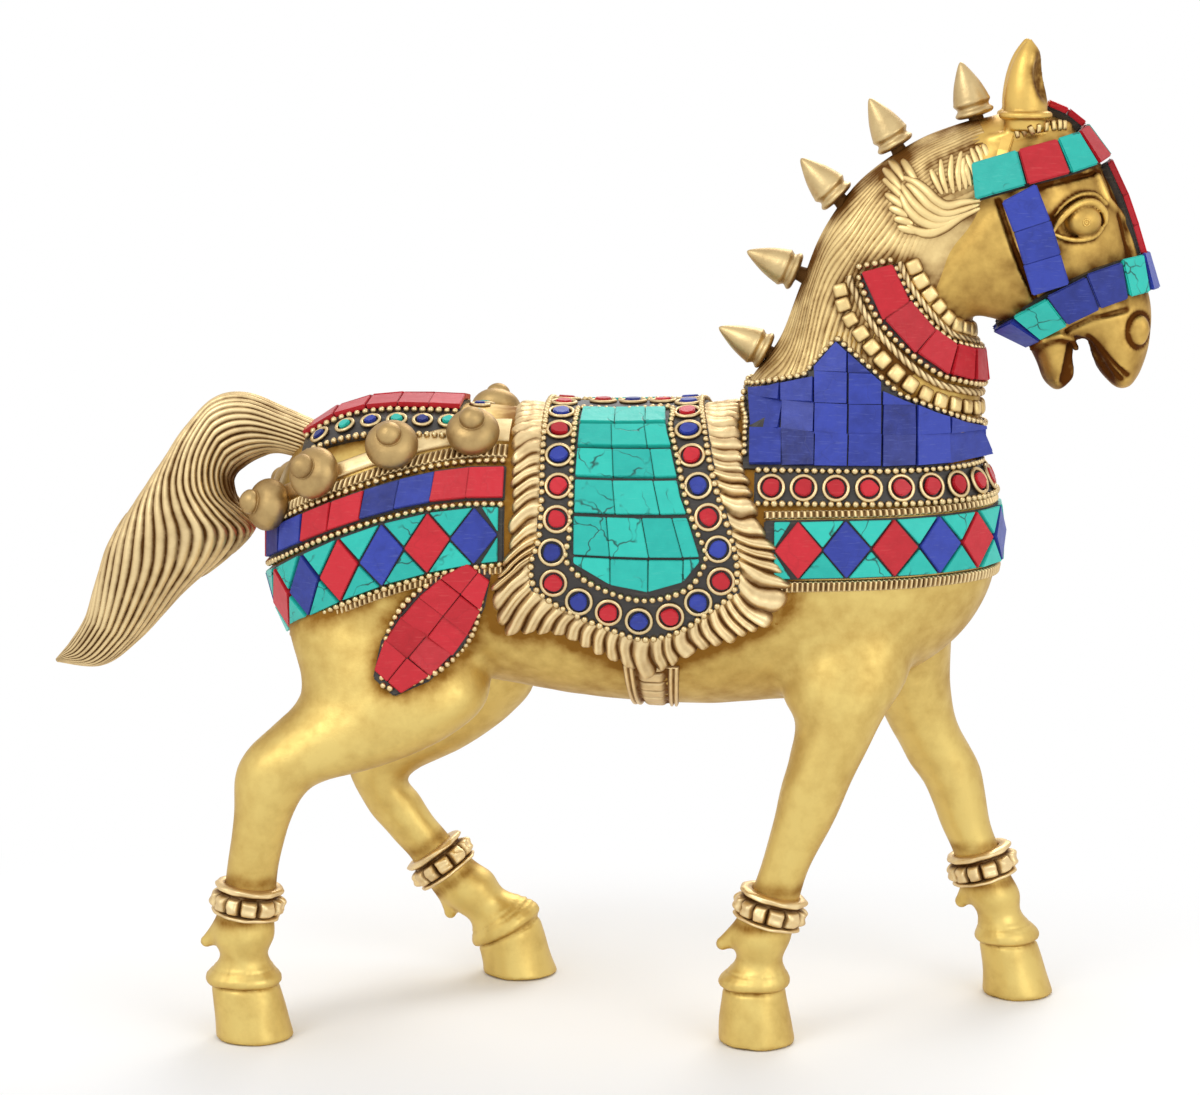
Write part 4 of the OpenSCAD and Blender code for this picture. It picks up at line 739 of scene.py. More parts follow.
MOUTH = (((144.4, 205.2), (150.6, 196.2), 3.0), ((142.4, 205.6), (140.6, 195.6), 3.0))
JOWL = [(130.4, 206), (131.6, 200.5), (133.6, 195.8)]
NOSE_RIDGE = [(151, 256.6), (153.4, 249.4), (155.8, 241.6), (158.6, 231.2)]
LOWER_LIP = [(129.9, 204.6), (133, 207.4), (137.3, 208.8), (141, 207.6), (142.2, 205)]
head = Mould((90, -27, 186), (170, 27, 297), pitch=0.55, band=5.0)
skins = casting_skin(HEAD, 0, len(HEAD) - 1), casting_skin(JAW, 0, len(JAW) - 1)
head.add(skins[0], soft=0.3)
head.add(skins[1], soft=1.6)
x, y, z = head.places()
forward = np.clip(0.5 + (throat(x, z) - 1.5) / 3, 0, 1)
head.add(casting_skin(np.vstack([NECK, NECK_END]), 3.45, len(NECK)), 5.0, 1.2 - 1.5 * forward)
face, chin = (BVHTree.FromPolygons(q.tolist(), outward(q, quads.tolist() + ends.tolist()))
              for q, quads, ends in skins)
dark = [np.array([(x, y, z) for x in (142, 145, 148) for y in (-6, 0, 6) for z in (198, 202, 206)], float)]
brown, cups = [], []
turn = np.linspace(0, 2 * np.pi, 29)
head.carve(head.egg((144.5, 0, 203), (4.0, 7.2, 8.5)), 1.0)
for side in (-1, 1):
    head.melt(head.egg((117.5, side * 9.4, 230), (17, 8.8, 15.5)), 4.5)
    for line, r in CUTS:
        spots, out = drop(face, line, side)
        head.carve(head.rod(list(spots + out * 0.25), [r] * len(line)), 0.5)
        dark.append(along_line(spots, 30))
    (eye,), (out,) = drop(face, [EYE], side)
    head.carve(head.egg(eye + out * 2.6, (8.0, 4.4, 5.6)), 2.0)
    head.melt(head.egg(eye - out * 1.4 + (0.3, 0, 0.3), (5.5, 4.8, 4.9)), 0.3)
    for line, r, lift in LIDS:
        spots, out = drop(face, along_line(line, 16), side)
        head.melt(head.rod(list(spots + out * lift), r * np.sin(np.linspace(0.35, 2.8, 16)) ** 0.5), 0.4)
        dark.append(spots + out * (lift - 1.1 * r))
    for low, high, r in MOUTH:
        gum = np.array([(low[0], side * 8.6, low[1]), (high[0], side * 8.2, high[1])])
        head.carve(head.rod(gum, [r, r]), 0.5)
        dark[0] = np.concatenate([dark[0], along_line(gum, 6) - (0, side * 1.5, 0)])
    brown.append(along_line(drop(chin, JOWL, side)[0], 12))
    spots, out = drop(face, CROWN, side)
    head.melt(head.rod(list(spots - out * 0.5), [1.7] * len(CROWN)), 0.6)
    head.melt(head.rod(list(drop(face, NOSE_RIDGE, side)[0]), [1.15] * len(NOSE_RIDGE)), 0.8)
    roll, out = drop(chin, LOWER_LIP, side)
    head.melt(head.rod(list(roll + out * 0.2), [0.9] * len(LOWER_LIP)), 0.7)
    dark.append(along_line(roll - (0, 0, 1.4), 30))
    (hole,), (out,) = drop(face, [NOSTRIL], side)
    head.melt(head.egg(hole - out * 0.4, (3.1, 2.5, 4.6)), 0.6)
    rim = hole[[0, 2]] + np.stack([3.6 * np.cos(turn), 5.1 * np.sin(turn)], -1)
    rim = drop(face, rim, side)[0]
    head.carve(head.rod(list(rim), [0.6] * len(rim)), 0.4)
    dark.append(rim)
    head.add(casting_skin(EAR + [0, 0, 0, 0, 0, side * EAR_Y], 0, len(EAR) - 1), soft=1.2)
    cup, wide = np.array([133.0, side * 14.0, 284.2]), np.array([5.0, 5.2, 8.2])
    head.carve(head.egg(cup, wide), 1.1)
    ways = unit(np.random.default_rng(side + 2).normal(size=(260, 3)))
    cups.append(cup + wide * ways * (1, 1, 0.9))
    foot = np.stack([126.4 + 6.7 * np.cos(turn), side * EAR_Y + 6.3 * np.sin(turn), 272.3 + 0 * turn], -1)
    head.melt(head.rod(list(foot), [1.0] * len(foot)), 0.8)
points, quads = head.pour()
# The head is made darker everywhere below the crown.
darker_below_crown = 0.3 * np.clip((268 - points[:, 2]) / 9, 0, 1)
head_piece = piece("head_casting", points, quads, darker_below_crown)
hollows(worn(head_piece, 4, (16, 0.22)), gain=6.0, spread=2)
stain_and_shade(head_piece, dark[0], reach=3.6, amount=1.3)
stain_and_shade(head_piece, np.concatenate(brown), reach=3.0, amount=0.5)
# Painted shade inside each ear's cup.
stain_and_shade(head_piece, np.concatenate(cups), reach=1.7, amount=0.75)
stain_and_shade(head_piece, np.concatenate(dark[1:]), reach=1.0, amount=0.9)
head_brass = brass("head_brass", (0.80, 0.54, 0.15), (0.14, 0.045, 0.007),
                   mottle=0.34, polish=0.42, bump=0.35)
settle(head_piece, head_brass, "brass", "head", "lower_jaw", "ear_near", "ear_far")

# Eye rings
# A small hoop with a dot in it, chased on each eye of the head casting.


def hoop(wide, thick, steps, sides):
    """A hoop of round wire that lies flat."""
    turn, wire = whole_turn(steps)[:, None], whole_turn(sides)[None]
    r = wide + thick * np.cos(wire)
    return np.stack([r * np.cos(turn), r * np.sin(turn), thick * np.sin(wire) + 0 * turn], -1)


trim, head_tree = Heap(), tree_of(head_piece)
for side in (-1, 1):
    (eye,), (out,) = drop(head_tree, [(144.0, 242.0)], side)
    u = unit(np.cross(out, (0, 0, 1.0)))
    for wide, thick in ((0.95, 0.26), (0.3, 0.3)):
        trim.add(*wrap(eye - 0.1 * out + hoop(wide, thick, 24, 8) @ np.array([u, np.cross(out, u), out])))
settle(hollows(trim.make("head_trim"), gain=2.0, spread=1), head_brass, "brass")

# Tail
# A solid casting brazed to the rump, with deep grooves cut along every lock.
TAIL = np.array([
    [-78, 178, -84, 168, 7, 0], [-92, 184, -94, 170.5, 8, 0], [-104, 188.5, -100, 169, 9.5, 0],
    [-114, 187, -105, 166, 11, 0], [-123, 178, -108.5, 162.5, 12, 0], [-130, 168, -108, 157, 13, 0],
    [-136, 159.5, -104, 152, 13.5, 0], [-142, 151, -102.5, 147, 13.5, 0], [-147.5, 142, -110, 139, 12.5, 0],
    [-151.5, 131, -123, 128.5, 11, 0], [-155, 120, -138, 113, 8, 0], [-160, 112, -150, 104.5, 5, 0],
    [-164.7, 106.3, -163.9, 105.2, 1.2, 0]])
TAIL_LOCKS, TAIL_TONES = 15, 34
s, a = np.meshgrid(np.linspace(0, len(TAIL) - 1, 260), whole_turn(360), indexing="ij")
p, n = on_casting(TAIL, s, a), casting_normal(TAIL, s, a)
off = np.minimum(a, 2 * np.pi - a)
fall = 2.5 * np.clip((s - 3.2) / 8, 0, 1) ** 1.1 - 0.5 * np.clip((s - 10) / 2, 0, 1)
phase = 40 + TAIL_LOCKS * (off - fall) / np.pi + 0.16 * ripple(p, 26, 12)
ridge = np.abs(np.sin(np.pi * phase)) ** 0.4
size = through(TAIL, s)[..., 4] / TAIL[:, 4].max()
tall = strand_values(phase, TAIL_TONES, 0.8, 1.15, 9)
p = p + n * ((1.6 * ridge * tall - 1.5) * np.clip(size * 1.1, 0.1, 1))[..., None]
brown = strand_values(phase, TAIL_TONES, 0, 1, 17) ** 2 * np.clip(0.6 + ripple(p, 30, 18), 0, 1)
# Painted shade under the tail's arch, near its root.
under = np.exp(-((s - 4) / 2.4) ** 2) * np.clip((off - 2.2) / 0.7, 0, 1)
dirt = (1.9 + 0.8 * ripple(p, 16, 13)) * (1 - ridge) ** 1.3 + 0.28 * brown + 0.7 * under
settle(one_tube("tail_casting", p, dirt), chased_brass, "brass", "tail")

# Spikes of the mane and knobs of the rump
# Turned brass: acorn spikes on short stems along the crest, and pot-shaped knobs with a nipple on the rump.
KNOBS = ((-90, 157), (-76.2, 166.8), (-55.2, 174.4), (-32.2, 177.4))
KNOB_R = 7.8
SPIKE = [(0.02, -3), (2.6, -3), (2.2, 1.2), (2.5, 1.6), (4.9, 2), (5.7, 3), (4.7, 4.4), (5.5, 5.8),
         (5.3, 6.8), (4.9, 8.4), (3.9, 11.4), (2.5, 14.4), (1.3, 16.6), (0.6, 17.6), (0.02, 18)]
KNOB = [(0.02, -2)] + [(KNOB_R * r, h) for r, h in (
    (0.62, -2), (0.66, 0.4), (0.9, 2.2), (1, 4.6), (0.94, 6.8), (0.76, 8.6), (0.54, 9.5), (0.44, 9.7),
    (0.47, 10.6), (0.44, 11.8), (0.3, 13), (0.12, 13.7))] + [(0.02, 13.9)]


def flank(x, z):
    """Half width of the barrel at x and height z."""
    m, h, w = barrel(x)
    return w * np.clip(1 - np.abs((z - m) / h) ** FULL, 0, 1) ** (1 / FULL)


def barrel_normal(p, step=0.2):
    """Direction out of the barrel at places on its skin."""
    def fill(x, y, z):
        m, h, w = barrel(x)
        return np.abs(y / w) ** FULL + np.abs((z - m) / h) ** FULL
    ways = step * np.eye(3)
    return unit(np.stack([fill(*np.moveaxis(p + way, -1, 0)) - fill(*np.moveaxis(p - way, -1, 0))
                          for way in ways], -1))


def turned(profile, at, axis, segments=48):
    """Rings of a turned piece with its axis along the given direction."""
    q = along_line(profile, 4 * len(profile))
    axis = unit(np.asarray(axis, float))
    u = unit(np.cross(axis, (0.1, 1, 0.2)))
    v = np.cross(axis, u)
    t = whole_turn(segments)
    around_axis = np.cos(t)[:, None] * u + np.sin(t)[:, None] * v
    return np.asarray(at) + q[:, None, 1:] * axis + np.maximum(q[:, None, :1], 0.02) * around_axis[None]


spikes, knobs = Heap(), Heap()
for x, z, dx, dz in FINIALS:
    rings = turned(SPIKE, (x, 0, z), (dx, 0, dz))
    h = np.linspace(SPIKE[0][1], SPIKE[-1][1], len(rings))[:, None]
    spikes.tube(rings, 0.9 * np.clip((3.4 - h) / 3, 0, 1))
spike_brass = brass("spike_brass", (0.70, 0.535, 0.27), (0.17, 0.08, 0.024),
                    mottle=0.5, polish=0.42, bump=0.4)
settle(hollows(spikes.make("mane_spikes"), gain=3.0, spread=2), spike_brass, "brass", "mane_finials")
for side in (-1, 1):
    for x, z in KNOBS:
        base = np.array([x, side * flank(x, z), z])
        knobs.tube(turned(KNOB, base, barrel_normal(base)))
knob_brass = brass("knob_brass", (0.53, 0.37, 0.16), (0.20, 0.115, 0.05), mottle=0.75, polish=0.48, bump=0.6)
settle(hollows(knobs.make("rump_knobs_turned"), gain=4.0, spread=2), knob_brass, "brass", "rump_knobs")

# Saddle cloth
# Cast brass laid over the back. Its edge is a fringe of S-shaped locks in high relief, longest at the foot.
# The lines give x and the angle from the spine of the locks' roots and tips.
OUTER = np.array([
    [-12.4, 0], [-12, 25], [-11.6, 45], [-11.1, 65], [-11.6, 80], [-13.8, 89], [-12, 95.8], [-2.5, 102.2],
    [8.6, 107.3], [18.8, 110.8], [29, 107.2], [37, 100.8], [43.8, 95.2], [45.4, 89.5], [43.8, 80],
    [39.8, 64.3], [36.6, 45.5], [34, 17], [33, 0]])
TIPS = np.array([
    [-22.5, 2], [-21.5, 31], [-20.8, 53], [-20.6, 73], [-22, 89], [-26.5, 101], [-22.5, 116], [-9, 113.5],
    [6, 120.5], [19.5, 131], [31.5, 119.5], [42.5, 114.5], [54, 108.5], [61, 98], [57.5, 86], [51.2, 70],
    [47.8, 51], [45.4, 22], [45, 2]])
LOCK_WIDE, LOCK_TONES = 4.2, 60


def running(points):
    """Length along a line of points."""
    return np.append(0, np.cumsum(np.linalg.norm(np.diff(points, axis=0), axis=1)))


def relief(base, out, lift, dirt, low=-0.8):
    """Rings of a raised strip: its carved top, then a plain underside sunk in the piece below."""
    under = (base + out * low)[:, ::-1][:, ::max(1, base.shape[1] // 4)]
    rings = np.concatenate([base + out * lift[..., None], under], 1)
    return rings, np.concatenate([dirt, np.zeros(under.shape[:2])], 1)


t, w = np.meshgrid(np.linspace(0, len(OUTER) - 1, 1100), np.linspace(-0.12, 1, 28), indexing="ij")
root, tip = through(OUTER, t), through(TIPS, t)
line = on_barrel(*(0.5 * (root + tip)[:, 0]).T)
phase = (running(line) / LOCK_WIDE + 0.4 * ripple(line, 13, 4))[:, None] + 0.15 * np.sin(5.2 * w - 0.4)
ridge = np.abs(np.sin(np.pi * phase)) ** 0.55
tall = strand_values(phase, LOCK_TONES, 0.6, 1.25, 6)
calm = np.clip((root[..., 1] - 22) / 34, 0.14, 1)
end = np.clip((w - 0.82) / 0.18, 0, 1)
reach = w * (1 - 0.16 * (1 - ridge * tall) * np.clip(1.5 * w, 0, 1))
place = root + (tip - root) * reach[..., None]
split = 0.16 * np.abs(np.sin(2 * np.pi * phase + 0.7)) ** 3
swell = 0.4 + 1.9 * np.sin(np.pi * np.clip(0.08 + 0.62 * w, 0, 1))
high = 1.7 + calm * swell * (ridge * tall - split)
deep = (1.35 * (1 - ridge) ** 1.5 + 1.2 * split) * np.clip(4 * w, 0.35, 1) * np.clip(calm + 0.25, 0, 1)
fringe = Heap()
for side in (1, -1):
    base = on_barrel(place[..., 0], side * place[..., 1])
    lift = (high + 0.2 * ripple(base, 3.5, 14)) * np.sqrt(1 - end ** 2)
    dirt = np.clip(deep + 0.35 * end + 0.2 * (1 - calm) * np.clip(ripple(base, 4, 15), 0, 1), 0, 1)
    fringe.tube(*relief(base, barrel_normal(base), lift, dirt))
cloth_brass = brass("cloth_brass", (0.94, 0.745, 0.41), (0.22, 0.095, 0.022),
                    mottle=0.32, polish=0.42, bump=0.45)
fringe_piece = fringe.make("saddle_fringe_cast")
settle(hollows(fringe_piece, gain=1.5, spread=1), cloth_brass, "brass", "saddle_cloth", "saddle_fringe")

# Girth
# A cast strap under the belly: a pair of rails along each edge and a ladder of broad rungs between them.
f, u = np.meshgrid(np.linspace(126, 234, 420), np.linspace(0, 1, 72), indexing="ij")
k = 2 - np.abs(f - 180) / 26
base = on_barrel(12 + k + (16.5 - 2 * k) * u, f)
rail = np.exp(-((u[..., None] - (0.05, 0.15, 0.85, 0.95)) / 0.042) ** 4).max(-1)
gap = np.exp(-(((running(base[:, 36])[:, None] / 4.4) % 1 - 0.5) / 0.11) ** 4)
face = np.maximum(rail, 0.85 * np.exp(-((u - 0.5) / 0.22) ** 8) * (1 - gap))
lift = 0.35 + 1.25 * face + 0.22 * (1 - face) * ripple(base, 2.2, 21)
girth = one_tube("girth_cast", *relief(base, barrel_normal(base), lift, 0.95 * (1 - face)))
settle(girth, cloth_brass, "brass", "girth_strap")

# Ribbed strips
# Narrow brass strips soldered along the chest and rump bands, with ticks filed across them. Each runs from
# one flank to the other, with u from -1 to 1, and w is the way across it.


def belt(x0, x1, u, z):
    """Skin of the barrel at height z, between x1 in the middle and x0 at the ends."""
    x = x1 + (x0 - x1) * u * u
    return np.stack([x, np.sign(u) * np.maximum(flank(x, z), 0.01) * np.minimum(np.abs(u) / 0.04, 1), z], -1)


def belt_end(z, row, x, size, power):
    """End of the barrel at height z, at the rear or at the chest."""
    b = through(BARREL, row)
    c = np.clip(np.abs(2 * z - b[0] - b[1]) / (b[1] - b[0]), 0, 0.99)
    return x + size * ((1 - c ** power) ** (1 / power) * 0.9999 - 1)


def chest_strip(w, u, high):
    """Skin under a chest strip that lies at the given height in the middle."""
    z = high - 1.5 * u * u + w
    return belt(53, belt_end(z, 6.7, CHEST_X, CHEST_ROUND, CHEST_POWER), u, z)


def rump_strip(w, u, fall, on_foot):
    """Skin under a rump strip, so far below the rump's line, or below its foot where on_foot is 1."""
    x = REAR_X + (RUMP_X - REAR_X) * u * u
    z = rump_line(x) - fall - on_foot * rump_foot(x) + w
    return belt(RUMP_X, belt_end(z, 0.4, REAR_X, -REAR_ROUND, REAR_POWER), u, z)


strips = Heap()
u, w = np.meshgrid(np.linspace(-1, 1, 1100), np.linspace(-1, 1, 13), indexing="ij")
edge = np.clip(1 - np.abs(w) ** 6, 0, 1) ** 0.5
for strip, place, half, tall, pitch in (
        (chest_strip, (160.1,), 1.2, 1.5, 1.8), (chest_strip, (139.4,), 1.7, 1.6, 1.5),
        (rump_strip, (-3.9, 0), 1.7, 1.5, 1.7), (rump_strip, (-9.2, 0), 2.7, 1.3, 0.0),
        (rump_strip, (2.2, 1), 1.3, 1.5, 1.6)):
    base = strip(w * half, u, *place)
    face = 0.75 ** 0.7 + 0 * w
    if pitch:
        tick = np.sin(np.pi * (running(base[:, 6])[:, None] / pitch)) ** 2
        face = np.maximum(tick ** 0.7, np.where(np.abs(w) > 0.72, 0.8, 0))
    dirt = 0.9 * (1 - face) * (pitch > 0) + 0.3 * (np.abs(w) > 0.9)
    strips.tube(*relief(base, barrel_normal(base), tall * edge * (0.35 + 0.65 * face), dirt))
settle(strips.make("ribbed_strips"), chased_brass, "brass")

# Collar
# A band round the neck: a twisted rope above and below the stones, and rows of cut pyramid studs.


def collar(u, w):
    """Skin of the neck w beside the collar's middle line."""
    s, a = 2.69 + 3.3 * np.maximum(np.abs(u) - 0.45, 0) ** 1.6, np.radians(180 + 106 * u)
    c, n = on_casting(NECK, s, a), casting_normal(NECK, s, a)
    side = unit(np.cross(n, np.gradient(c, axis=0)))
    found = [neck_tree.find_nearest(Vector(q)) for q in c + side * np.reshape(w, (-1, 1))]
    return np.array([q[0][:] for q in found]), n


ropes = Heap()
for w in (-8.2, 7.0):
    line, out = (along_line(q[::10], 900) for q in collar(np.linspace(-1, 1, 700), w))
    out = unit(out)
    side = unit(np.cross(out, np.gradient(line, axis=0)))[:, None]
    a = whole_turn(18)[None]
    twist = np.abs(np.sin(1.5 * a - 1.15 * running(line)[:, None])) ** 0.7
    r = 0.75 + 0.45 * twist
    across, up = (r * np.cos(a))[..., None], (r * np.sin(a) + 0.5)[..., None]
    ropes.tube(line[:, None] + across * side + up * out[:, None], 0.9 * (1 - twist))
settle(ropes.make("collar_ropes"), chased_brass, "brass")


def merged(*nodes, whole=True):
    """A working copy of CAD nodes, with their loose triangles joined into whole faces where asked."""
    bm = bmesh.new()
    for n in nodes:
        bm.from_mesh(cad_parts[n].data)
    bmesh.ops.remove_doubles(bm, verts=bm.verts[:], dist=1e-6)
    if whole:
        bmesh.ops.dissolve_limit(bm, angle_limit=0.02, verts=bm.verts[:], edges=bm.edges[:])
    return bm


def lumps(bm):
    """Lists of the vertices of each separate solid."""
    bm.verts.index_update()
    seen, found = set(), []
    for first in bm.verts:
        if first.index in seen:
            continue
        group, todo = [], [first]
        seen.add(first.index)
        while todo:
            v = todo.pop()
            group.append(v)
            for e in v.link_edges:
                o = e.other_vert(v)
                if o.index not in seen:
                    seen.add(o.index)
                    todo.append(o)
        found.append(group)
    return found


def from_bm(name, bm):
    """A piece with flat faces from a working copy."""
    mesh = bpy.data.meshes.new(name)
    bm.to_mesh(mesh)
    bm.free()
    mesh.polygons.foreach_set("use_smooth", np.full(len(mesh.polygons), False))
    return placed(name, mesh)


body_tree = tree_of(body_piece)


def up_of(middle):
    """Direction away from the horse at a place near its skin, in metres."""
    found = (tree.find_nearest(Vector(middle / MM)) for tree in (body_tree, head_tree, neck_tree))
    return min(found, key=lambda q: q[3])[1]


rows_tree, given, put = new_group(
    "set_in_rows", [("Places", "Geometry"), ("Pattern", "Object"), ("Size", "Vector"),
                    ("Unevenness", "Float"), ("Seed", "Int"), ("Metal", "Material")],
    [("Pieces", "Geometry")], "GeometryNodeTree")
rows_tree.is_modifier = True
pattern = node(rows_tree, "GeometryNodeObjectInfo", Object=given["Pattern"])
out, along = (node(rows_tree, "GeometryNodeInputNamedAttribute", data_type="FLOAT_VECTOR", Name=label)
              for label in ("out", "along"))
facing = node(rows_tree, "FunctionNodeAxesToRotation", primary_axis="Z", secondary_axis="X",
              Primary_Axis=out.outputs[0], Secondary_Axis=along.outputs[0])
vary = node(rows_tree, "FunctionNodeRandomValue", data_type="FLOAT", Seed=given["Seed"])
sized = node(rows_tree, "ShaderNodeVectorMath", operation="SCALE", Scale=vary.outputs[1])
set_out = node(rows_tree, "GeometryNodeInstanceOnPoints", Points=given["Places"],
               Instance=pattern.outputs["Geometry"], Rotation=facing.outputs[0], Scale=sized.outputs[0])
real = node(rows_tree, "GeometryNodeRealizeInstances", Geometry=set_out.outputs["Instances"])
metal = node(rows_tree, "GeometryNodeSetMaterial", Geometry=real.outputs["Geometry"], Material=given["Metal"])
links(rows_tree, (math_node(rows_tree, "SUBTRACT", 1.0, given["Unevenness"]), vary.inputs[2]),
      (math_node(rows_tree, "ADD", 1.0, given["Unevenness"]), vary.inputs[3]),
      (given["Size"], sized.inputs[0]), (metal.outputs["Geometry"], put["Pieces"]))


def in_rows(name, pattern, size, spots, outs, alongs, metal, seed, uneven):
    """Sets a pattern out at places, squared to two directions there, and keeps the plain mesh it makes."""
    obj = piece(name, spots, [])
    for label, values in (("out", outs), ("along", alongs)):
        layer = obj.data.attributes.new(label, "FLOAT_VECTOR", "POINT")
        layer.data.foreach_set("vector", np.asarray(values, np.float32).ravel())
    step = obj.modifiers.new(name, "NODES")
    step.node_group = rows_tree
    values = {"Pattern": pattern, "Size": size, "Unevenness": uneven, "Seed": seed, "Metal": metal}
    for item in rows_tree.interface.items_tree:
        if item.name in values:
            step[item.identifier] = values[item.name]
    made = bpy.data.meshes.new_from_object(obj.evaluated_get(bpy.context.evaluated_depsgraph_get()))
    obj.modifiers.clear()
    obj.data = made
    for label in ("out", "along"):
        made.attributes.remove(made.attributes[label])
    return obj


# One stud: a square cushion with a dark foot, in five rings.
corner = whole_turn(16)
square = [np.sign(v) * np.abs(v) ** 0.4 for v in (np.cos(corner), np.sin(corner))]
rings = [np.stack([k * square[0], k * square[1], h + 0 * corner], -1)
         for h, k in ((-0.5, 1), (0.3, 1), (0.65, 0.92), (0.9, 0.7), (1, 0.4))]
pillow = one_tube("pillow", np.array(rings), np.array([[1.0], [0.8], [0.25], [0.05], [0]]))
rows = []
for w, pitch in ((-12.7, 5.3), (10.4, 4.7)):
    line, out = collar(np.linspace(-1, 1, 400), w)
    far = running(line)
    at = np.searchsorted(far, np.arange(pitch / 2, far[-1], pitch))
    rows.append((line[at], out[at], unit(line[np.minimum(at + 9, 399)] - line[np.maximum(at - 9, 0)])))
stud_places, outs, alongs = (np.concatenate(q) for q in zip(*rows))
studs = in_rows("collar_stud_rows", pillow, (2.2, 2.35, 1.75), stud_places, outs, alongs, mane_brass, 1, 0.07)
settle(studs, mane_brass, "brass", "collar_studs")

# Mastic
# Black lac mastic is cast into every band and rubbed flat around the stones set in it. Its finish and that of
# the stones come from one group: a cloudy colour with cracks and scratches.
stone_group, given, put = new_group(
    "cut_stone", [("Base", "Color"), ("Shade", "Color"), ("Vein", "Color"), ("Pale", "Color"),
                  ("Tone", "Float", 0.5), ("Crack", "Float", 0.0), ("Scratch", "Float", 0.3),
                  ("Gloss", "Float", 0.3)],
    [("Color", "Color"), ("Roughness", "Float"), ("Height", "Float")])
g = stone_group
plus, minus, times = (partial(math_node, g, op) for op in ("ADD", "SUBTRACT", "MULTIPLY"))
place = g.nodes.new("ShaderNodeTexCoord").outputs["Object"]
cloud = noise(g, place, 260, 4)
warp = node(g, "ShaderNodeTexNoise", Vector=place, Scale=180.0, Detail=2.0)
bent = node(g, "ShaderNodeVectorMath", operation="MULTIPLY_ADD")
for socket, value in zip(bent.inputs, (warp.outputs["Color"], (0.006, 0.006, 0.006), place)):
    feed(g, socket, value)
net = node(g, "ShaderNodeTexVoronoi", feature="DISTANCE_TO_EDGE", Vector=bent.outputs[0], Scale=105.0)
thin = ramp(g, net.outputs["Distance"], 0.006, 0.03, To_Min=1.0, To_Max=0.0)
crack = times(times(thin, ramp(g, noise(g, place, 90), 0.46, 0.58)), given["Crack"])
long = node(g, "ShaderNodeMapping", Vector=place, Rotation=(0.4, 0.7, 0.2), Scale=(240, 300, 1900))
scratch = times(ramp(g, noise(g, long.outputs[0], 1.0, 3), 0.58, 0.70), given["Scratch"])
shade = minus(plus(times(cloud, 0.9), times(given["Tone"], 0.9)), 0.5, clamp=True)
color = mix_node(g, shade, given["Base"], given["Shade"])
color = mix_node(g, crack, mix_node(g, scratch, color, given["Pale"]), given["Vein"])
rough = plus(given["Gloss"], plus(times(scratch, 0.25), times(cloud, 0.15)))
bumps = minus(times(noise(g, place, 420, 3), 0.8), times(crack, 0.9))
links(g, (color, put["Color"]), (rough, put["Roughness"]), (bumps, put["Height"]))


def stone_finish(name, base, shade, vein, pale, bump=0.35, specular=0.35, layer="tone", **values):
    """A finish of the group above from four colours and its other values."""
    colors = {"Base": base, "Shade": shade, "Vein": vein, "Pale": pale}
    values.update({key: (*color, 1) for key, color in colors.items()})
    return finish_of(name, stone_group, values, 0.0, bump, specular, layer)


mastic = stone_finish("mastic", (0.020, 0.017, 0.015), (0.055, 0.047, 0.040), (0.01, 0.01, 0.01),
                      (0.16, 0.13, 0.09), bump=0.5, specular=0.5, layer=None, Scratch=0.35, Gloss=0.36)
for name in [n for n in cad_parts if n.endswith(("_bed", "_beds"))]:
    bed = merged(name)
    sharp = [e for e in bed.edges if len(e.link_faces) == 2 and e.calc_face_angle() > 1.0]
    bmesh.ops.bevel(bed, geom=sharp, offset=0.45 * MM, segments=2, affect="EDGES", clamp_overlap=True)
    settle(from_bm("mastic_" + name, bed), mastic, "mastic", name)

# Stones
# Turquoise, coral and lapis coloured tiles, sawn and rubbed by hand, so each one sits a little differently.
STONES = {
    "turquoise": stone_finish("turquoise", (0.030, 0.57, 0.47), (0.014, 0.42, 0.36), (0.012, 0.04, 0.034),
                              (0.16, 0.66, 0.55), Crack=0.85, Scratch=0.12, Gloss=0.30),
    "coral": stone_finish("coral", (0.62, 0.020, 0.034), (0.42, 0.010, 0.017), (0.16, 0.006, 0.01),
                          (0.70, 0.11, 0.10), Crack=0.12, Scratch=0.25, Gloss=0.30),
    "lapis": stone_finish("lapis", (0.036, 0.060, 0.40), (0.011, 0.018, 0.14), (0.008, 0.009, 0.03),
                          (0.10, 0.13, 0.42), Crack=0.12, Scratch=0.4, Gloss=0.30)}


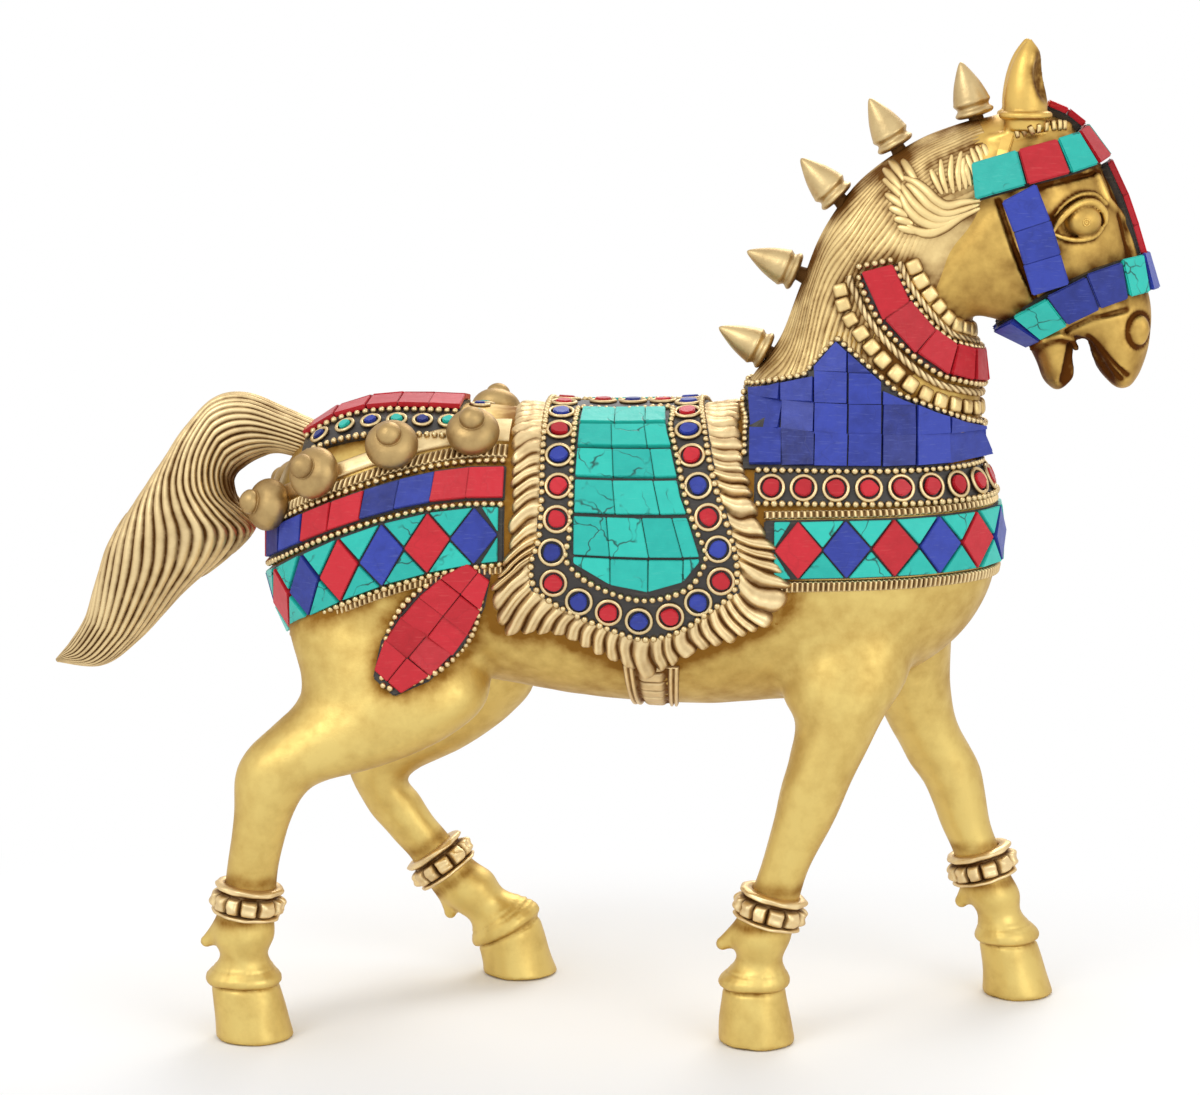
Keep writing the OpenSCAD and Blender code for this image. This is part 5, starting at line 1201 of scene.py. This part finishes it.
def stones(name, nodes, seed, bm=None, grow=0.0, flare=0.0, lift=0.0, hewn=0.0, bevel=0.2):
    """Tiles with a thin joint, of the stone their name starts with. Grow and flare widen foot and face in
    millimetres, lift raises them and hewn makes them crooked."""
    kind = name.split("_")[0]
    rng = np.random.default_rng(seed)
    bm = bm or merged(*nodes)
    for group in lumps(bm):
        middle = sum((v.co for v in group), Vector()) / len(group)
        up = up_of(middle)
        tops = [f for v in group for f in v.link_faces if f.normal.dot(up) > 0.3]
        up = max(tops, key=lambda f: f.calc_area()).normal.copy()
        u = up.orthogonal().normalized()
        w = up.cross(u)
        tall = [(v.co - middle).dot(up) for v in group]
        low, high = min(tall), max(tall)
        rise, lean = (lift + rng.normal(0, 0.06)) * MM, Vector(rng.normal(0, 0.008, 3))
        turns = rng.uniform(0, 6.28, 3)
        for v, h in zip(group, tall):
            arm = v.co - middle
            flat = arm - up * h
            a = math.atan2(flat.dot(w), flat.dot(u))
            waves = sum(0.3 * math.sin(k * a + turn) for k, turn in zip((2, 3, 5), turns))
            wide = (grow + flare * (h - low) / (high - low)) * MM
            v.co += up * rise + lean.cross(arm) + flat.normalized() * wide - flat * (hewn * (0.5 + waves))
    bmesh.ops.bevel(bm, geom=bm.edges[:], offset=bevel * MM, segments=2, affect="EDGES", clamp_overlap=True)
    layer = bm.verts.layers.float.new("tone")
    for group in lumps(bm):
        tone = rng.uniform(0, 1)
        for v in group:
            v[layer] = tone
    return settle(from_bm(name, bm), STONES[kind], kind, *nodes)


def cut(cells, low, high, bm=None):
    """Stones cut to outlines, each given by corner places and normals in millimetres."""
    bm = bm or bmesh.new()
    for spots, outs in cells:
        m, n = spots.mean(0), unit(outs.mean(0))
        spots = spots - 0.7 * ((spots - m) @ n)[:, None] * n
        foot, face = ([bm.verts.new((q + n * h) * MM) for q in spots] for h in (low, high))
        k = len(foot)
        bm.faces.new(foot)
        bm.faces.new(face[::-1])
        for i in range(k):
            bm.faces.new((face[i], face[(i + 1) % k], foot[(i + 1) % k], foot[i]))
    bmesh.ops.recalc_face_normals(bm, faces=bm.faces[:])
    return bm


def filled(bm):
    """Rump stones drawn up to fill their bed as far as the beads above it."""
    for v in bm.verts:
        x, y, z = v.co / MM
        tall = rump_foot(x) - 15.2 + 2.2 * rump_part(x)
        part = (rump_foot(x) - rump_line(x) + z) / tall
        if x < RUMP_X + 2 and 0 < part < 1.2:
            at, out, *_ = body_tree.find_nearest(v.co / MM)
            high = (v.co / MM - at).dot(out)
            at, out, *_ = body_tree.find_nearest(at + Vector((0, 0, 0.17 * part * tall)))
            v.co = (at + out * high) * MM
    return bm


def front(line):
    """Lays front view points y, z on the chest. Gives places and normals."""
    found = [body_tree.ray_cast(Vector((200, y, z)), Vector((-1, 0, 0))) for y, z in line]
    return np.array([q[0][:] for q in found]), np.array([q[1][:] for q in found])


for kind, seed in (("turquoise", 32), ("coral", 35), ("lapis", 38)):
    nodes = ["chest_" + kind, "rump_" + kind]
    stones(kind + "_bands", nodes, seed, filled(merged(*nodes)), grow=0.42)
    stones(kind + "_bridle", ["bridle_" + kind], seed + 1, grow=0.3, flare=1.0, bevel=0.45)
stones("turquoise_crupper", ["crupper_turquoise"], 40, hewn=0.14, bevel=0.3)
stones("coral_rings", ["saddle_coral", "chest_ring_coral"], 34, hewn=0.16, bevel=0.3)
stones("coral_collar", ["collar_coral"], 41, grow=0.25, flare=0.4, bevel=0.3)
stones("coral_thigh", ["thigh_coral"], 42, grow=0.75)
stones("coral_crupper", ["crupper_coral"], 43, grow=0.25, flare=0.15, lift=0.8)
stones("lapis_rings", ["saddle_lapis", "crupper_lapis"], 37, hewn=0.16, bevel=0.3)

# The lapis panel of the shoulders: slivers at the chest make way for one tile that closes its middle.
bm = merged("shoulder_lapis")
for group in lumps(bm):
    if group[0].co.x > 100 * MM and max((v.co - group[0].co).length for v in group) < 4 * MM:
        bmesh.ops.delete(bm, geom=group, context="VERTS")
bm = cut([front([(-3.3, 172.6), (3.3, 172.6), (5.4, 181), (-5.4, 181)])], 0.9, 2.5, bm)
stones("lapis_shoulder", ["shoulder_lapis"], 44, bm, grow=0.28, lift=0.25)

# The turquoise panel of the saddle: rows of three or four tiles, the outer ones ground to the edge.
EDGE = np.array([[12, 22.9], [30, 23.9], [45, 26.2], [64, 29.1], [75, 32], [84.5, 34.9], [90, 32.8]])
FOOT = np.array([[-1.6, 87], [5, 91], [17, 94.4], [27, 92.9], [32.8, 89.2], [35, 84.8]])
FIRST_X, FIRST_ANGLE, ROW_ANGLE, LAST_ROW = -1.6, 13, 14.4, 5
rng, cells = np.random.default_rng(30), []
for side in (-1, 1):
    for r in range(LAST_ROW + 1):
        f0, f1 = FIRST_ANGLE + ROW_ANGLE * r, FIRST_ANGLE + ROW_ANGLE * (r + 1)
        us = [0.38, 0.75] if r < 4 else [0.29, 0.59, 0.87]
        us = [0] + [u + rng.normal(0, 0.012) for u in us] + [1]
        for u0, u1 in zip(us, us[1:]):
            bulge = [(u1, (f0 + f1) / 2)] if u1 == 1 and r < LAST_ROW else []
            ring = [(u0, f0), (u1, f0)] + bulge + [(u1, f1), (u0, f1)]
            x = np.array([FIRST_X + u * (np.interp(min(f, 85), *EDGE.T) - FIRST_X) for u, f in ring])
            f = np.array([f for u, f in ring])
            if r == LAST_ROW:
                f = np.where(f > 90, np.maximum(np.interp(x, *FOOT.T), 86), f)
            spots = on_barrel(x, -side * f)
            cells.append((spots + unit(spots.mean(0) - spots) * 0.16, barrel_normal(spots)))
stones("turquoise_saddle", ["saddle_turquoise"], 31, cut(cells, 2.7, 4.3))

# Rings
# Each round stone stands in a ring bent from brass wire and pressed into the mastic.
bead_brass = brass("bead_brass", (0.80, 0.63, 0.34), (0.11, 0.048, 0.014),
                   mottle=0.22, polish=0.36, bump=0.15)


def solids(name):
    """Points of each separate solid of a CAD node, in millimetres."""
    bm = merged(name, whole=False)
    found = [np.array([v.co for v in group]) / MM for group in lumps(bm)]
    bm.free()
    return found


def wire_ring(wide, thick):
    """A ring of round wire, with painted shade on its lower half, darkest at its foot."""
    rings, heap = hoop(wide - thick, thick, 22, 7), Heap()
    heap.add(*wrap(rings), np.clip(0.42 - rings[..., 2] / 0.75, 0, 1))
    return heap.make("wire_ring")


for seed, name in enumerate(("saddle_rings_brass", "chest_rings_brass", "crupper_rings_brass")):
    spots, outs, alongs = [], [], []
    for p in solids(name):
        m = (p.min(0) + p.max(0)) / 2
        axes = np.linalg.svd(p - m, full_matrices=False)[2]
        spots.append(m)
        outs.append(axes[2] * np.sign(axes[2] @ np.array(up_of(m * MM))))
        alongs.append(axes[0])
    ring = wire_ring(np.linalg.norm(p - m, axis=1).max(), np.abs((p - m) @ axes[2]).max())
    wires = in_rows("wire_" + name, ring, (1, 1, 1), spots, outs, alongs, bead_brass, seed, 0.02)
    settle(wires, bead_brass, "brass", name)
    bpy.data.objects.remove(ring)

# Bead chains
# Cast bead wire is soldered beside every band, each bead a little different from the next.
BEAD, BEAD_PITCH = 1.8, 2.0
up, turn = np.linspace(0.35, np.pi - 0.35, 5)[:, None], whole_turn(9)[None]
rings = np.stack([np.sin(up) * np.cos(turn), np.sin(up) * np.sin(turn), np.cos(up) + 0 * turn], -1)
# Painted shade: each bead is darker on the half that faces the skin it sits on.
ball = one_tube("bead", rings, 0.28 - 0.75 * np.cos(up))
bead_places = []
for seed, name in enumerate(("saddle_bead_wire", "shoulder_bead_wire", "collar_bead_wire", "rump_bead_wire")):
    spots, alongs = [], []
    for p in solids(name):
        axis = np.linalg.svd(p - p.mean(0), full_matrices=False)[2][0]
        span = np.ptp(p @ axis) - BEAD
        count = max(1, int(round(span / BEAD_PITCH)) + 1)
        step = span / max(count - 1, 1)
        spots += [(p.min(0) + p.max(0)) / 2 + axis * step * (i - (count - 1) / 2) for i in range(count)]
        alongs += [axis] * count
    if name == "collar_bead_wire":
        for w in (-4.6, -2.3, 0, 2.3, 4.6):
            at, out = collar(np.linspace(-1.02, 1.02, 200), w)
            spots += list((at + 1.5 * out)[[0, -1]])
            alongs += [(0, 0, 1)] * 2
    if name == "shoulder_bead_wire":
        at, out = front([(y, 182.2) for y in (-4.2, -2.1, 0, 2.1, 4.2)])
        spots += list(at + 1.5 * out)
        alongs += [(0, 1, 0)] * len(at)
    bead_places.append(np.array(spots))
    outs = [up_of(q * MM) for q in spots]
    run = in_rows("beads_" + name, ball, (1.03, 1.03, 1.03), spots, outs, alongs, bead_brass, seed, 0.10)
    settle(run, bead_brass, "brass", name)
bpy.data.objects.remove(ball)

# Crown strap
# A brass strap behind the ears, with small ribs across it below each ear.
bm = merged("crown_strap")
sharp = [e for e in bm.edges if e.calc_face_angle(0) > 1.0]
bmesh.ops.bevel(bm, geom=sharp, offset=0.3 * MM, segments=2, affect="EDGES")
settle(from_bm("crown_strap_cast", bm), head_brass, "brass", "crown_strap")
rows = []
for side in (-1, 1):
    at, out = drop(head_tree, through(np.array(CROWN), np.linspace(1.8, 4.6, 8)), side)
    rows.append((at, unit(out + 2 * out.mean(0)), unit(np.gradient(at, axis=0))))
ribs = (np.concatenate(q) for q in zip(*rows))
settle(in_rows("crown_studs", pillow, (0.75, 1.5, 0.7), *ribs, mane_brass, 2, 0.15), mane_brass, "brass")
bpy.data.objects.remove(pillow)

# Patina and painted shade round the trim
# Polish never reaches the skin beside the soldered trim, so it stays brown there. The darkening beside the
# fringe's edge and the bead wire also paints the shade that the raised trim casts.
edge = along_line(TIPS, 400)
hem = [on_barrel(edge[:, 0], side * edge[:, 1]) for side in (-1, 1)]
# Brown patina and painted shade on the barrel beside the fringe's edge and the bead wire.
stain_and_shade(body_piece, np.concatenate(hem + bead_places), reach=4.2, amount=0.95)
stain_and_shade(neck_piece, bead_places[2], reach=3.5, amount=0.7)
for casting in (neck_piece, head_piece):
    stain_and_shade(casting, stud_places, reach=3.0, amount=0.9)
beds = [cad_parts[n].data for n in ("browband_bed", "noseband_bed", "strap_beds")]
stain_and_shade(head_piece, [v.co / MM for bed in beds for v in bed.vertices], reach=2.6, amount=0.55)

# Floor, light and camera
# A white sweep with soft light from above the near side, seen from a little above the saddle.
FAR = 3000
corners = [(-FAR, -FAR, 0), (FAR, -FAR, 0), (FAR, FAR, 0), (-FAR, FAR, 0)]
floor = piece("floor", corners, [(0, 1, 2, 3)], smooth=False)
paper = bpy.data.materials.new("white_paper")
paper.use_nodes = True
tree = paper.node_tree
shader, out = tree.nodes["Principled BSDF"], tree.nodes["Material Output"]
shader.inputs["Base Color"].default_value = (0.93, 0.93, 0.93, 1)
shader.inputs["Roughness"].default_value = 0.9
shader.inputs["Specular IOR Level"].default_value = 0.0
white = node(tree, "ShaderNodeEmission", Strength=1.0)
oval = node(tree, "ShaderNodeVectorMath", operation="MULTIPLY")
feed(tree, oval.inputs[0], tree.nodes.new("ShaderNodeTexCoord").outputs["Object"])
feed(tree, oval.inputs[1], (0.55, 1.0, 1.0))
length = node(tree, "ShaderNodeVectorMath", operation="LENGTH")
feed(tree, length.inputs[0], oval.outputs[0])
far = ramp(tree, length.outputs["Value"], 0.085, 0.21, interpolation_type="SMOOTHSTEP")
fade = tree.nodes.new("ShaderNodeMixShader")
links(tree, (far, fade.inputs[0]), (shader.outputs[0], fade.inputs[1]), (white.outputs[0], fade.inputs[2]),
      (fade.outputs[0], out.inputs["Surface"]))
floor.data.materials.append(paper)

world = bpy.data.worlds.new("white_room")
bpy.context.scene.world = world
world.use_nodes = True
tree = world.node_tree
glow = tree.nodes["Background"]
seen = tree.nodes.new("ShaderNodeBackground")
path = tree.nodes.new("ShaderNodeLightPath")
pick = tree.nodes.new("ShaderNodeMixShader")
glow.inputs["Color"].default_value = (1, 1, 1, 1)
glow.inputs["Strength"].default_value = 0.80
seen.inputs["Color"].default_value = (1, 1, 1, 1)
shown = path.outputs["Is Camera Ray"]
for ray in ("Is Glossy Ray", "Is Transmission Ray"):
    shown = math_node(tree, "MAXIMUM", shown, path.outputs[ray])
links(tree, (shown, pick.inputs[0]), (glow.outputs[0], pick.inputs[1]), (seen.outputs[0], pick.inputs[2]),
      (pick.outputs[0], tree.nodes["World Output"].inputs["Surface"]))


def aimed(name, data, at, aim):
    """A lamp or camera at one place that looks at another."""
    obj = placed(name, data)
    obj.location = at
    obj.rotation_euler = (Vector(aim) - Vector(at)).to_track_quat("-Z", "Y").to_euler()
    return obj


for name, at, size, power in (("window", (-0.7, -0.9, 1.1), 0.7, 4.6), ("fill", (0.9, -0.9, 0.6), 0.8, 2.6),
                              ("back", (0.2, 1.0, 1.0), 0.8, 6)):
    lamp = bpy.data.lights.new(name, "AREA")
    lamp.shape, lamp.size, lamp.energy = "DISK", size, power
    aimed(name, lamp, at, (0, 0, 0.14))

AIM, TURN, TILT, AWAY = Vector((0.004, 0.0, 0.143)), math.radians(5), math.radians(9), 1.0
away = Vector((math.sin(TURN) * math.cos(TILT), -math.cos(TURN) * math.cos(TILT), math.sin(TILT)))
camera = aimed("camera", bpy.data.cameras.new("camera"), AIM + AWAY * away, AIM)
camera.data.sensor_width, camera.data.lens = 36.0, 100.0
camera.data.shift_x = -5 / 1200
bpy.context.scene.camera = camera
bpy.context.scene.view_settings.view_transform = "Standard"
